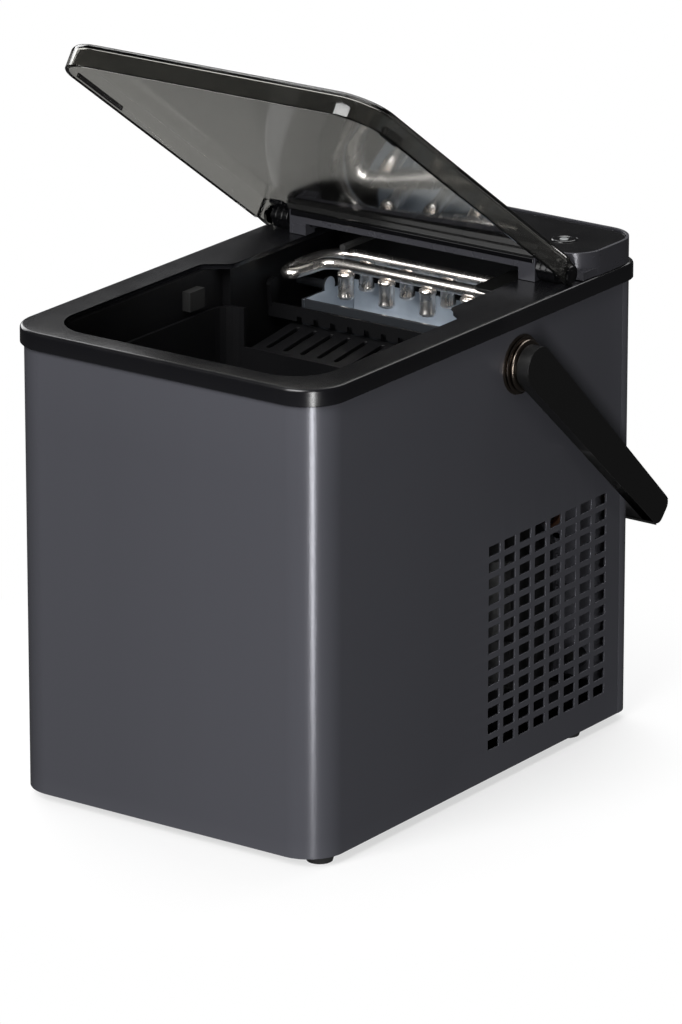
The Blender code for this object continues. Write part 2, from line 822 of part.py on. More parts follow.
def ice_guide():
    """The slotted ramp from the tray to the basket."""
    foot = CHAMBER_FLOOR + GAP
    outline = [
        (RAMP_REAR, RAMP_HIGH),
        (RAMP_FRONT, RAMP_LOW),
        (RAMP_FRONT, RAMP_LOW - 0.0022),
        (RAMP_REAR - 0.0025, RAMP_HIGH - 0.0024),
        (RAMP_REAR - 0.0025, foot),
        (RAMP_REAR, foot),
    ]
    ramp = prism([outline], -RAMP_HALF, RAMP_HALF, axis="X")
    front, rear = RAMP_FRONT + 0.006, RAMP_REAR - 0.005
    slots = [((x - 0.0017, front, 0.2), (x + 0.0017, rear, 0.25)) for x in spaced(-0.060, 0.012, 11)]
    finish("ice_guide", cut(ramp, boxes(slots)), "basket_plastic")


def tray_section(inset, top):
    """The tray's trough as (y, z), drawn `inset` inside its outer face."""
    bend = TRAY_BEND
    front = arc((TRAY_FRONT + bend, TRAY_FLOOR + bend), bend - inset, 180, 270, 4)
    rear = arc((TRAY_REAR - bend, TRAY_FLOOR + bend), bend - inset, 270, 360, 4)
    return [(TRAY_FRONT + inset, top)] + front + rear + [(TRAY_REAR - inset, top)]


def water_tray():
    wall = TRAY_WALL
    block = prism([tray_section(0, TRAY_RIM)], -TRAY_HALF, TRAY_HALF, axis="X")
    hollow = prism([tray_section(wall, TRAY_RIM + 0.01)], -TRAY_HALF + wall, TRAY_HALF - wall, axis="X")
    lugs = []
    for sign in (-1, 1):
        start = TRAY_HALF - wall if sign > 0 else -TRAY_HALF
        lugs.append(cylinder((start, TRAY_AXIS_Y, TRAY_AXIS_Z), wall, 0.0055, "X", 20))
        start = TRAY_HALF - 0.001 if sign > 0 else -TRAY_HALF - 0.024
        lugs.append(cylinder((start, TRAY_AXIS_Y, TRAY_AXIS_Z), 0.025, 0.003, "X", 16))
    place("water_tray", moved(union(cut(block, hollow), *lugs), TRAY_AXIS), "clear_plastic", TRAY_AXIS)


def ice_shovel():
    arms = []
    for sign in (-1, 1):
        start, end = sorted((sign * 0.0795, sign * 0.0825))
        outline = arc((SHOVEL_AXIS_Y, SHOVEL_AXIS_Z), 0.0045, -20, 200, 8) + [
            (SHOVEL_AXIS_Y - 0.0030, BLADE_TIP + 0.006),
            (SHOVEL_AXIS_Y - 0.0002, BLADE_TIP + 0.006),
        ]
        arms.append(prism([outline], start, end, axis="X"))
        pin_start = 0.0815 if sign > 0 else -0.0930
        arms.append(cylinder((pin_start, SHOVEL_AXIS_Y, SHOVEL_AXIS_Z), 0.0115, 0.0022, "X", 12))
    blade = box(
        (-0.0822, SHOVEL_AXIS_Y - 0.0028, BLADE_TIP), (0.0822, SHOVEL_AXIS_Y - 0.0010, BLADE_TIP + 0.0085)
    )
    low, high = BLADE_TIP - 0.001, BLADE_TIP + 0.003
    notches = [((x, 0.04, low), (x + 0.0036, 0.07, high)) for x in spaced(-0.0618, 0.012, 11)]
    mesh = union(cut(blade, boxes(notches)), *arms)
    place("ice_shovel", moved(mesh, SHOVEL_AXIS), "basket_plastic", SHOVEL_AXIS)


def gear_outline(teeth, pitch_radius, phase):
    """A spur gear's outline with straight-sided teeth, as (y, z) about its own centre."""
    module = 2 * pitch_radius / teeth
    points = []
    for tooth in range(teeth):
        middle = phase + 2 * pi * tooth / teeth
        step = 2 * pi / teeth
        for share, radius in (
            (-0.30, pitch_radius - 1.05 * module),
            (-0.13, pitch_radius + 0.70 * module),
            (0.13, pitch_radius + 0.70 * module),
            (0.30, pitch_radius - 1.05 * module),
        ):
            angle = middle + share * step
            points.append((radius * cos(angle), radius * sin(angle)))
    return points


def gears():
    """A pair outside the chamber's left wall, which turns the shovel against the tray."""
    across = SHOVEL_AXIS_Y - TRAY_AXIS_Y
    up = SHOVEL_AXIS_Z - TRAY_AXIS_Z
    distance = hypot(across, up)
    towards = atan2(up, across)
    tray_radius = distance * TRAY_TEETH / (TRAY_TEETH + SHOVEL_TEETH)
    shovel_radius = distance - tray_radius
    shovel_phase = towards + pi + pi / SHOVEL_TEETH
    tray_outline = gear_outline(TRAY_TEETH, tray_radius, towards)
    shovel_outline = gear_outline(SHOVEL_TEETH, shovel_radius, shovel_phase)
    tray_mesh = prism([tray_outline], GEAR_LEFT, GEAR_RIGHT, axis="X")
    shovel_mesh = prism([shovel_outline], GEAR_LEFT, GEAR_RIGHT, axis="X")
    tray_bore = cylinder((-0.1, 0, 0), 0.02, 0.0033, "X", 16)
    shovel_bore = cylinder((-0.1, 0, 0), 0.02, 0.0025, "X", 12)
    place("tray_gear", cut(tray_mesh, tray_bore), "white_plastic", TRAY_AXIS)
    place("shovel_gear", cut(shovel_mesh, shovel_bore), "white_plastic", SHOVEL_AXIS)


def tray_motor():
    left = 0.0865
    y, z = TRAY_AXIS_Y, TRAY_AXIS_Z
    case = cylinder((left, y + 0.004, z), 0.0150, 0.0190, "X", 28)
    ears = box((left, y - 0.020, z - 0.004), (left + 0.002, y + 0.028, z + 0.004))
    bore = cylinder((left - 0.002, y, z), 0.005, 0.0034, "X", 16)
    finish("tray_motor", cut(union(case, ears), bore), "motor_steel")


def evaporator():
    z = TUBE_Z
    left_bend = smooth_route(
        [
            (-0.052, TUBE_FRONT_Y, z),
            (-0.059, TUBE_FRONT_Y - 0.004, z - 0.0005),
            (-0.063, 0.064, z - 0.002),
            (-0.067, 0.055, z - 0.003),
            (-0.0725, 0.057, z - 0.003),
            (-0.0725, 0.068, z - 0.002),
            (-0.069, 0.084, z - 0.0005),
            (-0.061, 0.096, z),
            (-0.050, TUBE_REAR_Y, z),
        ],
        3,
    )
    route = [(0.060, TUBE_FRONT_Y, z)] + left_bend + [(0.060, TUBE_REAR_Y, z)]
    finish("evaporator_tube", tube(route, TUBE_RADIUS, 3), "chrome")
    number = 0
    for y in (TUBE_FRONT_Y, TUBE_REAR_Y):
        for x in FINGER_X:
            number += 1
            top = z - TUBE_RADIUS - GAP
            profile = [
                (0, top),
                (FINGER_RADIUS, top),
                (FINGER_RADIUS, FINGER_BOTTOM + 0.0014),
                (FINGER_RADIUS - 0.0014, FINGER_BOTTOM),
                (0, FINGER_BOTTOM),
            ]
            finish(f"evaporator_finger_{number}", turned(profile, (x, y, 0), steps=12), "chrome")
    plate = box((0.050, 0.068, z + TUBE_RADIUS + GAP), (0.0835, 0.112, z + TUBE_RADIUS + 0.0028))
    finish("evaporator_bracket", plate, "black_plastic")


def ice_sensors():
    for side, sign in (("left", -1), ("right", 1)):
        near, far = sorted((sign * (WELL_HALF - GAP), sign * (WELL_HALF - 0.006)))
        mesh = box((near, -0.022, 0.2585), (far, -0.008, 0.2700))
        finish(f"ice_sensor_{side}", mesh, "black_plastic")


# Water circuit


def water_pump():
    x, y = PUMP_X, PUMP_Y
    case = cylinder((x, y, 0.0280), 0.0400, 0.0170, "Z", 24)
    base = box((x - 0.022, y - 0.014, 0.0078), (x + 0.022, y + 0.014, 0.0290))
    inlet = cylinder((x, y, 0.0670), 0.0175, 0.0045, "Z", 16)
    outlet = cylinder((x + 0.0150, y, 0.0550), 0.0120, 0.0035, "X", 14)
    finish("water_pump", union(case, base, inlet, outlet), "black_plastic")


def pump_hose():
    corners = [
        (-0.0127, PUMP_Y, 0.0550),
        (0.004, PUMP_Y, 0.0550),
        (0.004, 0.0315, 0.0550),
        (0.004, 0.0315, 0.1900),
        (HOSE_X, 0.0315, 0.1900),
        (HOSE_X, 0.1385, 0.1900),
        (HOSE_X, 0.1385, HOSE_Z),
        (HOSE_X, 0.0900, HOSE_Z),
    ]
    finish("pump_hose", tube(bent_route(corners, 0.009), 0.0022, 1), "silicone")


def drain():
    corners = [(DRAIN_X, 0.0, 0.0845), (DRAIN_X, 0.0, DRAIN_Z), (DRAIN_X, 0.1440, DRAIN_Z)]
    finish("drain_hose", tube(bent_route(corners, 0.014), 0.0045, 1), "silicone")
    spout_profile = [
        (0.0070, 0.1585),
        (0.0070, 0.1547),
        (0.0100, 0.1547),
        (0.0100, 0.1543),
        (0.0068, 0.1543),
        (0.0068, 0.1443),
        (0.0050, 0.1443),
        (0.0050, 0.1585),
        (0.0070, 0.1585),
    ]
    finish("drain_spout", turned(spout_profile, (DRAIN_X, 0, DRAIN_Z), "Y", 24), "black_plastic")
    plug_profile = [
        (0, 0.1635),
        (0.0085, 0.1635),
        (0.0095, 0.1625),
        (0.0095, 0.1588),
        (0.0047, 0.1588),
        (0.0044, 0.1500),
        (0, 0.1500),
    ]
    plug = turned(plug_profile, (DRAIN_X, 0, DRAIN_Z), "Y", 24)
    finish("drain_plug", plug, "rubber", origin=(DRAIN_X, 0.1588, DRAIN_Z))


# Cooling circuit and electrics


def compressor():
    profile = [
        (0, 0.1380),
        (0.0180, 0.1365),
        (0.0320, 0.1290),
        (0.0395, 0.1150),
        (0.0400, 0.0700),
        (0.0415, 0.0680),
        (0.0400, 0.0660),
        (0.0390, 0.0360),
        (0.0300, 0.0210),
        (0, 0.0180),
    ]
    shell = turned(profile, (COMPRESSOR_X, COMPRESSOR_Y, 0), steps=20)
    plate = box((0.0060, 0.0480, 0.0170), (0.0900, 0.1320, 0.0195))
    legs = [
        cylinder((x, y, 0.0078), 0.0100, 0.0060, "Z", 14) for x in (0.014, 0.082) for y in (0.056, 0.124)
    ]
    finish("compressor", union(plate, shell, *legs), "black_steel")


def condenser():
    block = box((-0.0985, 0.0305, 0.0200), (-0.0800, 0.1305, 0.1500))
    grooves = [((-0.1, y, 0.024), (-0.0895, y + 0.0045, 0.146)) for y in spaced(0.0365, 0.0095, 10)]
    finish("condenser", cut(block, boxes(grooves)), "aluminium")


def fan():
    left, right = FAN_LEFT, FAN_RIGHT
    frame = rounded((FAN_Y - 0.052, FAN_Z - 0.052), (FAN_Y + 0.052, FAN_Z + 0.052), 0.006, 3)
    block = prism([frame], left, right, axis="X")
    duct = cylinder((left - 0.01, FAN_Y, FAN_Z), right - left + 0.007, 0.049, "X", 36)
    quarter = arc((0, 0), 0.0475, 6, 84, 6) + arc((0, 0), 0.0185, 76, 14, 3)
    centre = Matrix.Translation((0, FAN_Y, FAN_Z))
    windows = []
    for turn in range(4):
        window = prism([quarter], right - 0.01, right + 0.01, axis="X")
        window.transform(centre @ Matrix.Rotation(turn * pi / 2, 4, "X"))
        windows.append(window)
    shaft_hole = cylinder((right - 0.01, FAN_Y, FAN_Z), 0.02, 0.0030, "X", 12)
    finish("fan_shroud", cut(block, duct, shaft_hole, *windows), "black_plastic")
    case = cylinder((right + GAP, FAN_Y, FAN_Z), 0.0260, 0.0170, "X", 24)
    shaft = cylinder((right - 0.0080, FAN_Y, FAN_Z), 0.0100, 0.0016, "X", 12)
    finish("fan_motor", union(case, shaft), "motor_steel")
    hub = cylinder((-0.0770, 0, 0), 0.0110, 0.0140, "X", 20)
    pitch = Matrix.Translation((FAN_MIDDLE, 0, 0)) @ Matrix.Rotation(radians(24), 4, "Z")
    blades = []
    for number in range(FAN_BLADES):
        blade = box((-0.0007, -0.013, 0.0120), (0.0007, 0.013, FAN_RADIUS))
        blade.transform(Matrix.Rotation(2 * pi * number / FAN_BLADES, 4, "X") @ pitch)
        blades.append(blade)
    bore = cylinder((-0.0720, 0, 0), 0.02, 0.0020, "X", 12)
    place("fan_blades", cut(union(hub, *blades), bore), "black_plastic", FAN_AXIS)


def pipes():
    discharge = [
        (COMPRESSOR_X - 0.012, COMPRESSOR_Y - 0.012, 0.1383),
        (COMPRESSOR_X - 0.012, COMPRESSOR_Y - 0.012, 0.1700),
        (-0.0890, COMPRESSOR_Y - 0.012, 0.1700),
        (-0.0890, COMPRESSOR_Y - 0.012, 0.1503),
    ]
    finish("discharge_pipe", tube(bent_route(discharge, 0.010), 0.0025, 1), "copper")
    suction = [
        (0.0603, TUBE_REAR_Y, TUBE_Z),
        (SUCTION_X, TUBE_REAR_Y, TUBE_Z),
        (SUCTION_X, 0.1385, TUBE_Z),
        (SUCTION_X, 0.1385, 0.1200),
        (0.0600, 0.1300, 0.1100),
    ]
    finish("suction_pipe", tube(bent_route(suction, 0.0052), 0.0025, 1), "copper")
    drier_profile = [
        (0, 0.1900),
        (0.0030, 0.1900),
        (0.0085, 0.1830),
        (0.0085, 0.1320),
        (0.0030, 0.1250),
        (0, 0.1250),
    ]
    finish("filter_drier", turned(drier_profile, (-0.030, 0.138, 0), steps=20), "copper")
    liquid = [
        (-0.0890, 0.1308, 0.0500),
        (-0.0890, 0.1420, 0.0500),
        (-0.0300, 0.1420, 0.0500),
        (-0.0300, 0.1380, 0.0620),
        (-0.0300, 0.1380, 0.1247),
    ]
    finish("liquid_pipe", tube(bent_route(liquid, 0.005), 0.0022, 1), "copper")
    capillary = [
        (-0.0300, 0.1380, 0.1903),
        (-0.0300, 0.1380, 0.1980),
        (-0.0300, 0.1325, 0.2060),
        (CAPILLARY_X, 0.1325, 0.2060),
        (CAPILLARY_X, 0.1325, CAPILLARY_Z),
        (CAPILLARY_X, TUBE_FRONT_Y, CAPILLARY_Z),
        (0.0690, TUBE_FRONT_Y, TUBE_Z),
        (0.0603, TUBE_FRONT_Y, TUBE_Z),
    ]
    finish("capillary_tube", tube(bent_route(capillary, 0.0015), 0.0010, 1), "copper")


def electrics():
    plate = box((0.010, -0.125, 0.0110), (0.090, -0.035, 0.0126))
    parts = [
        box((0.018, -0.115, 0.0120), (0.048, -0.090, 0.0350)),
        box((0.060, -0.110, 0.0120), (0.080, -0.088, 0.0270)),
        box((0.020, -0.070, 0.0120), (0.030, -0.045, 0.0240)),
        cylinder((0.060, -0.065, 0.0120), 0.0220, 0.0080, "Z", 16),
    ]
    posts = [
        cylinder((x, y, 0.0078), 0.0040, 0.0030, "Z", 10) for x in (0.016, 0.084) for y in (-0.120, -0.040)
    ]
    finish("power_board", union(plate, *parts, *posts), "circuit_board")
    gland_profile = [
        (0.0110, 0.1590),
        (0.0110, 0.1543),
        (0.0059, 0.1543),
        (0.0059, 0.1465),
        (0.0035, 0.1465),
        (0.0035, 0.1590),
        (0.0110, 0.1590),
    ]
    finish("cord_inlet", turned(gland_profile, (INLET_X, 0, INLET_Z), "Y", 24), "black_plastic")


# Assembly


def axis_empty(name, y, z, angle=0.0, x=0.0):
    empty = bpy.data.objects.new(name, None)
    bpy.data.collections[PARTS].objects.link(empty)
    empty.parent = ROOT
    empty.location = (x, y, z)
    empty.rotation_euler = (angle, 0, 0)
    empty.hide_render = True
    return empty


def moved(mesh, axis):
    """The mesh shifted from cabinet coordinates to those of an axis empty."""
    mesh.transform(Matrix.Translation(-axis.location))
    return mesh


def place(name, mesh, finish_name, axis):
    """A part whose mesh is given about the axis empty that it turns on."""
    obj = finish(name, mesh, finish_name)
    obj.parent = axis
    obj.location = (0, 0, 0)
    return obj


def make_materials():
    return {
        "painted_steel": material("painted_steel", (0.055, 0.055, 0.065), 0.38, 0.35),
        "black_gloss": material("black_gloss", (0.008, 0.008, 0.009), 0.22),
        "black_plastic": material("black_plastic", (0.010, 0.010, 0.011), 0.45),
        "basket_plastic": material("basket_plastic", (0.014, 0.014, 0.015), 0.5),
        "tank_plastic": material("tank_plastic", (0.012, 0.012, 0.013), 0.4),
        "smoked_plastic": material("smoked_plastic", (0.06, 0.06, 0.055), 0.12, 0.0, 0.6),
        "clear_plastic": material("clear_plastic", (0.75, 0.82, 0.86), 0.12, 0.0, 0.45),
        "button_plastic": material("button_plastic", (0.03, 0.03, 0.032), 0.35),
        "bronze": material("bronze", (0.30, 0.24, 0.19), 0.28, 0.9),
        "chrome": material("chrome", (0.72, 0.70, 0.67), 0.12, 1.0),
        "rubber": material("rubber", (0.02, 0.02, 0.02), 0.85),
        "foam": material("foam", (0.78, 0.78, 0.74), 0.95),
        "copper": material("copper", (0.72, 0.38, 0.24), 0.3, 1.0),
        "aluminium": material("aluminium", (0.70, 0.71, 0.72), 0.4, 1.0),
        "motor_steel": material("motor_steel", (0.55, 0.55, 0.56), 0.4, 0.9),
        "black_steel": material("black_steel", (0.015, 0.015, 0.015), 0.35, 0.5),
        "circuit_board": material("circuit_board", (0.03, 0.16, 0.06), 0.5),
        "white_plastic": material("white_plastic", (0.80, 0.80, 0.77), 0.45),
        "silicone": material("silicone", (0.80, 0.80, 0.78), 0.5),
    }


clear_scene()
collection(PARTS)
collection(CUTTERS)
MATERIALS = make_materials()
ROOT = bpy.data.objects.new("ice_maker_datum", None)
bpy.data.collections[PARTS].objects.link(ROOT)
ROOT.location = (0, Y_SHIFT, 0)
LID_AXIS = axis_empty("lid_axis", HINGE_Y, HINGE_Z, -LID_OPEN)
HANDLE_AXIS = axis_empty("handle_axis", PIVOT_Y, PIVOT_Z, -HANDLE_ANGLE)
TRAY_AXIS = axis_empty("tray_axis", TRAY_AXIS_Y, TRAY_AXIS_Z)
SHOVEL_AXIS = axis_empty("shovel_axis", SHOVEL_AXIS_Y, SHOVEL_AXIS_Z)
FAN_AXIS = axis_empty("fan_axis", FAN_Y, FAN_Z)

feet()
base_pan()
outer_wrap()
rear_panel()
front_bezel()
rear_deck()
control_housing()
control_panel()
buttons()
control_board()
lid()
knuckles()
handle()
handle_bosses()
inner_tank()
tank_insulation()
ice_basket()
ice_guide()
water_tray()
ice_shovel()
gears()
tray_motor()
evaporator()
ice_sensors()
water_pump()
pump_hose()
drain()
compressor()
condenser()
fan()
pipes()
electrics()
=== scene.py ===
"""Looks of the countertop ice maker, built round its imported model.
Metres, +Z up, front towards -Y. Places come from the model's own nodes and joints."""

import json
from math import atan2, cos, degrees, pi, radians, sin

import bmesh
import bpy
from mathutils import Matrix, Vector

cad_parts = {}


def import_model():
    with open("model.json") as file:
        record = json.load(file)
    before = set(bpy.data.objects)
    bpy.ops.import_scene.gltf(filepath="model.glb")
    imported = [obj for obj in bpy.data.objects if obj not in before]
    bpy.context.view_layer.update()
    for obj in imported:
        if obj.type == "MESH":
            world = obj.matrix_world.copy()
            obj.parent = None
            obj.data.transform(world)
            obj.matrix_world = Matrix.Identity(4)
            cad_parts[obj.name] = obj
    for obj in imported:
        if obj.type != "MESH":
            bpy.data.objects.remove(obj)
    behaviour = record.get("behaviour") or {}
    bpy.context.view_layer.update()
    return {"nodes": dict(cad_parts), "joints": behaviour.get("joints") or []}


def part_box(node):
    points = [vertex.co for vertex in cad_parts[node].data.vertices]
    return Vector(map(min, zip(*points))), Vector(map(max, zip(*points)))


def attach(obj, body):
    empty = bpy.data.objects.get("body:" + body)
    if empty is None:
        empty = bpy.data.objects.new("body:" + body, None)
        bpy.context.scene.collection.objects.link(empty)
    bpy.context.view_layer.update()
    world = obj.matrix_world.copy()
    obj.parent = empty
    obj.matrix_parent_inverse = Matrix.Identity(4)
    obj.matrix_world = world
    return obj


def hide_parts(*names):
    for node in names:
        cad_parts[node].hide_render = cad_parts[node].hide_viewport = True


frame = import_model()
JOINTS = {joint["name"]: joint for joint in frame["joints"]}

# Radii and wall thicknesses of the cabinet, which the boxes of its nodes don't give.
SHEET = 0.0012
BODY_RADIUS = 0.0217
REAR_RADIUS = 0.012
RIM_RADIUS = 0.0252
RIM_REAR_RADIUS = 0.0155
RIM_WALL = 0.0032
RIM_PLATE = 0.0035
OPENING_HALF = 0.092
CHAMBER_HALF = 0.077
OPENING_RADIUS = 0.028

# Vent grid in each side of the wrap.
VENT_COLUMNS = 8
VENT_ROWS = 13
VENT_FIRST = Vector((0, 0.0066, 0.0259))
VENT_PITCH = Vector((0, 0.01557, 0.00978))
VENT_SIZE = Vector((0, 0.0112, 0.006))

# Extra grid lines across the plain parts of the sheets, so that no face there is very long.
SPLIT_Y = -0.06
SPLIT_Z = 0.19

# Lid, in its own coordinates when closed: the hinge axis is the origin.
LID_OPEN = radians(35.3)
LID_HALF = 0.109
LID_LENGTH = 0.247
LID_REAR = 0.009
LID_TOP = 0.0083
LID_SKIRT = 0.0144
LID_WALL = 0.0025
LID_RADIUS = 0.026

# Handle, in its own coordinates: the arms run along +Y from the pivot.
HANDLE_ANGLE = radians(43)
HANDLE_LENGTH = 0.1795

# Control housing: half its width, its corner radius, half the pocket for the lid's hinge, and its buttons.
HOUSING_HALF = 0.109
HOUSING_RADIUS = 0.020
HOUSING_POCKET = 0.0865
BUTTON_X = 0.078

# Rear louvres, a column on each side of the middle.
LOUVRE_COUNT = 5
LOUVRE_FIRST = 0.070
LOUVRE_PITCH = 0.010
LOUVRE_SLOT = 0.0032

# Water tray: half its length, its rim's height and its wall.
TRAY_HALF = 0.064
TRAY_RIM = 0.250
TRAY_WALL = 0.0018

# Camera
CAMERA_TARGET = Vector((0.0125, -0.0113, 0.1523))
CAMERA_AZIMUTH = radians(35.54)
CAMERA_ELEVATION = radians(18.61)
CAMERA_DISTANCE = 4.13
CAMERA_LENS = 253.2


# Mesh helpers


def mesh_from(bm, smooth_angle=35):
    """A mesh from a bmesh, smooth but for its sharp edges."""
    bmesh.ops.recalc_face_normals(bm, faces=bm.faces)
    mesh = bpy.data.meshes.new("piece")
    bm.to_mesh(mesh)
    bm.free()
    mesh.shade_smooth()
    mesh.set_sharp_from_angle(angle=radians(smooth_angle))
    return mesh


def piece(name, mesh, material, body, replaces=(), bevel=0.0, segments=3, angle=40):
    """A named piece that rides on a body, with its edges rounded by `bevel`."""
    obj = bpy.data.objects.new(name, mesh)
    bpy.context.scene.collection.objects.link(obj)
    mesh.materials.clear()
    mesh.materials.append(material)
    if bevel:
        round_edges(obj, bevel, segments, angle)
    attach(obj, body)
    if replaces:
        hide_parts(*replaces)
    return obj


def round_edges(obj, width, segments=3, angle=40):
    bevel = obj.modifiers.new("Bevel", "BEVEL")
    bevel.width = width
    bevel.segments = segments
    bevel.limit_method = "ANGLE"
    bevel.angle_limit = radians(angle)
    bevel.harden_normals = True
    bevel.miter_outer = "MITER_ARC"
    return obj


def arc(centre, radius, start, end, steps):
    """Points of an arc, with its angles in degrees."""
    angles = [radians(start + (end - start) * i / steps) for i in range(steps + 1)]
    return [(centre[0] + radius * cos(a), centre[1] + radius * sin(a)) for a in angles]


def rounded(low, high, radius, steps=8):
    """A rectangle with rounded corners, anticlockwise."""
    x0, y0 = low[0] + radius, low[1] + radius
    x1, y1 = high[0] - radius, high[1] - radius
    return (
        arc((x1, y1), radius, 0, 90, steps)
        + arc((x0, y1), radius, 90, 180, steps)
        + arc((x0, y0), radius, 180, 270, steps)
        + arc((x1, y0), radius, 270, 360, steps)
    )


def mirrored(points):
    """An outline from its right half, given from the rear to the front."""
    return points + [(-x, y) for x, y in reversed(points)]


def skin(rings, closed=False):
    """A closed solid from rings of matching points. The rings make the profile, and each ring runs along
    the piece. A closed profile gets a cap at both ends of the run; an open one gets a face over its first
    and its last ring and one across the two ends."""
    bm = bmesh.new()
    rows = [[bm.verts.new(point) for point in ring] for ring in rings]
    loops = rows + [rows[0]] if closed else rows
    for one, two in zip(loops, loops[1:]):
        for a, b, c, d in zip(one, one[1:], two[1:], two):
            bm.faces.new((a, b, c, d))
    if closed:
        bm.faces.new([row[0] for row in rows])
        bm.faces.new([row[-1] for row in rows])
    else:
        bm.faces.new(rows[0])
        bm.faces.new(rows[-1])
        bm.faces.new([row[0] for row in rows] + [row[-1] for row in reversed(rows)])
    return bm


def turned(profile, place, steps=48):
    """A turned solid: the profile is (radius, height), and `place` is the matrix of its axis, +Z."""
    bm = bmesh.new()
    rows = []
    for radius, height in profile:
        if radius < 1e-7:
            rows.append([bm.verts.new((0, 0, height))])
        else:
            turn = [2 * pi * i / steps for i in range(steps)]
            rows.append([bm.verts.new((radius * cos(a), radius * sin(a), height)) for a in turn])
    for one, two in zip(rows, rows[1:]):
        for i in range(steps):
            j = (i + 1) % steps
            corners = [one[i % len(one)], one[j % len(one)], two[j % len(two)], two[i % len(two)]]
            bm.faces.new(list(dict.fromkeys(corners)))
    if len(rows[0]) > 1 and len(rows[-1]) > 1:
        for i in range(steps):
            j = (i + 1) % steps
            bm.faces.new((rows[-1][i], rows[-1][j], rows[0][j], rows[0][i]))
    bm.transform(place)
    return bm


def rod(radius, start, end, place, steps):
    """A plain cylinder from one height to another on the axis of `place`."""
    return turned([(0, start), (radius, start), (radius, end), (0, end)], place, steps)


def along(axis, centre):
    """The matrix that lays +Z along an axis through a centre."""
    direction = {"X": Vector((1, 0, 0)), "Y": Vector((0, 1, 0)), "Z": Vector((0, 0, 1))}[axis]
    return Matrix.Translation(centre) @ direction.to_track_quat("Z", "Y").to_matrix().to_4x4()


PRISM_AXES = {
    "Z": Matrix.Identity(4),
    "X": Matrix(((0, 0, 1, 0), (1, 0, 0, 0), (0, 1, 0, 0), (0, 0, 0, 1))),
    "Y": Matrix(((1, 0, 0, 0), (0, 0, 1, 0), (0, 1, 0, 0), (0, 0, 0, 1))),
}


def prism(outline, start, end, axis="Z"):
    """An outline pulled from `start` to `end`. It is (x, y) along Z, (y, z) along X and (x, z) along Y."""
    bm = bmesh.new()
    low = [bm.verts.new((u, v, start)) for u, v in outline]
    high = [bm.verts.new((u, v, end)) for u, v in outline]
    bm.faces.new(low)
    bm.faces.new(high)
    count = len(outline)
    for i in range(count):
        j = (i + 1) % count
        bm.faces.new((low[i], low[j], high[j], high[i]))
    bm.transform(PRISM_AXES[axis])
    bmesh.ops.recalc_face_normals(bm, faces=bm.faces)
    return bm


def block(low, high):
    return prism(
        [(low[0], low[1]), (high[0], low[1]), (high[0], high[1]), (low[0], high[1])], low[2], high[2]
    )


def many(shapes):
    """One bmesh from several, as separate bodies."""
    bm = bmesh.new()
    for shape in shapes:
        mesh = bpy.data.meshes.new("shape")
        shape.to_mesh(mesh)
        shape.free()
        bm.from_mesh(mesh)
        bpy.data.meshes.remove(mesh)
    return bm


def boolean(shape, other, operation="DIFFERENCE"):
    """The mesh after one Boolean between two bmeshes."""
    objects = []
    for bm in (shape, other):
        bmesh.ops.recalc_face_normals(bm, faces=bm.faces)
        mesh = bpy.data.meshes.new("shape")
        bm.to_mesh(mesh)
        bm.free()
        obj = bpy.data.objects.new("shape", mesh)
        bpy.context.scene.collection.objects.link(obj)
        objects.append(obj)
    modifier = objects[0].modifiers.new("Boolean", "BOOLEAN")
    modifier.operation = operation
    modifier.object = objects[1]
    graph = bpy.context.evaluated_depsgraph_get()
    mesh = bpy.data.meshes.new_from_object(objects[0].evaluated_get(graph))
    for obj in objects:
        bpy.data.objects.remove(obj)
    result = bmesh.new()
    result.from_mesh(mesh)
    bpy.data.meshes.remove(mesh)
    bmesh.ops.dissolve_limit(result, angle_limit=radians(0.5), verts=result.verts, edges=result.edges)
    return result


def cut(shape, *others):
    for other in others:
        shape = boolean(shape, other)
    return shape


def smooth_route(places, steps=8):
    """Points on a Catmull-Rom curve through the places."""
    knots = [Vector(place) for place in places]
    ends = [2 * knots[0] - knots[1], *knots, 2 * knots[-1] - knots[-2]]
    route = [knots[0]]
    for a, b, c, d in zip(ends, ends[1:], ends[2:], ends[3:]):
        for i in range(1, steps + 1):
            t = i / steps
            first = (c - a) * t
            second = (2 * a - 5 * b + 4 * c - d) * t**2
            third = (3 * b - a - 3 * c + d) * t**3
            route.append((2 * b + first + second + third) / 2)
    return route


def pipe(route, radius, sides=20, flat=1.0):
    """A round rod along the route, closed by a flat face at each end. `flat` squeezes it upright."""
    points = [Vector(point) for point in route]
    rows = []
    up = Vector((0, 0, 1))
    for i, point in enumerate(points):
        ahead = points[min(i + 1, len(points) - 1)] - points[max(i - 1, 0)]
        ahead.normalize()
        side = ahead.cross(up)
        side = side.normalized() if side.length > 1e-3 else Vector((1, 0, 0))
        over = side.cross(ahead).normalized()
        rows.append((point, side, over))
    bm = bmesh.new()
    rings = []
    for point, side, over in rows:
        ring = []
        for k in range(sides):
            angle = 2 * pi * k / sides
            ring.append(
                bm.verts.new(point + side * radius * cos(angle) + over * radius * flat * sin(angle))
            )
        rings.append(ring)
    for one, two in zip(rings, rings[1:]):
        for k in range(sides):
            m = (k + 1) % sides
            bm.faces.new((one[k], one[m], two[m], two[k]))
    bm.faces.new(rings[0])
    bm.faces.new(rings[-1])
    return bm


# Materials


def shader_of(material):
    return next(n for n in material.node_tree.nodes if n.type == "BSDF_PRINCIPLED")


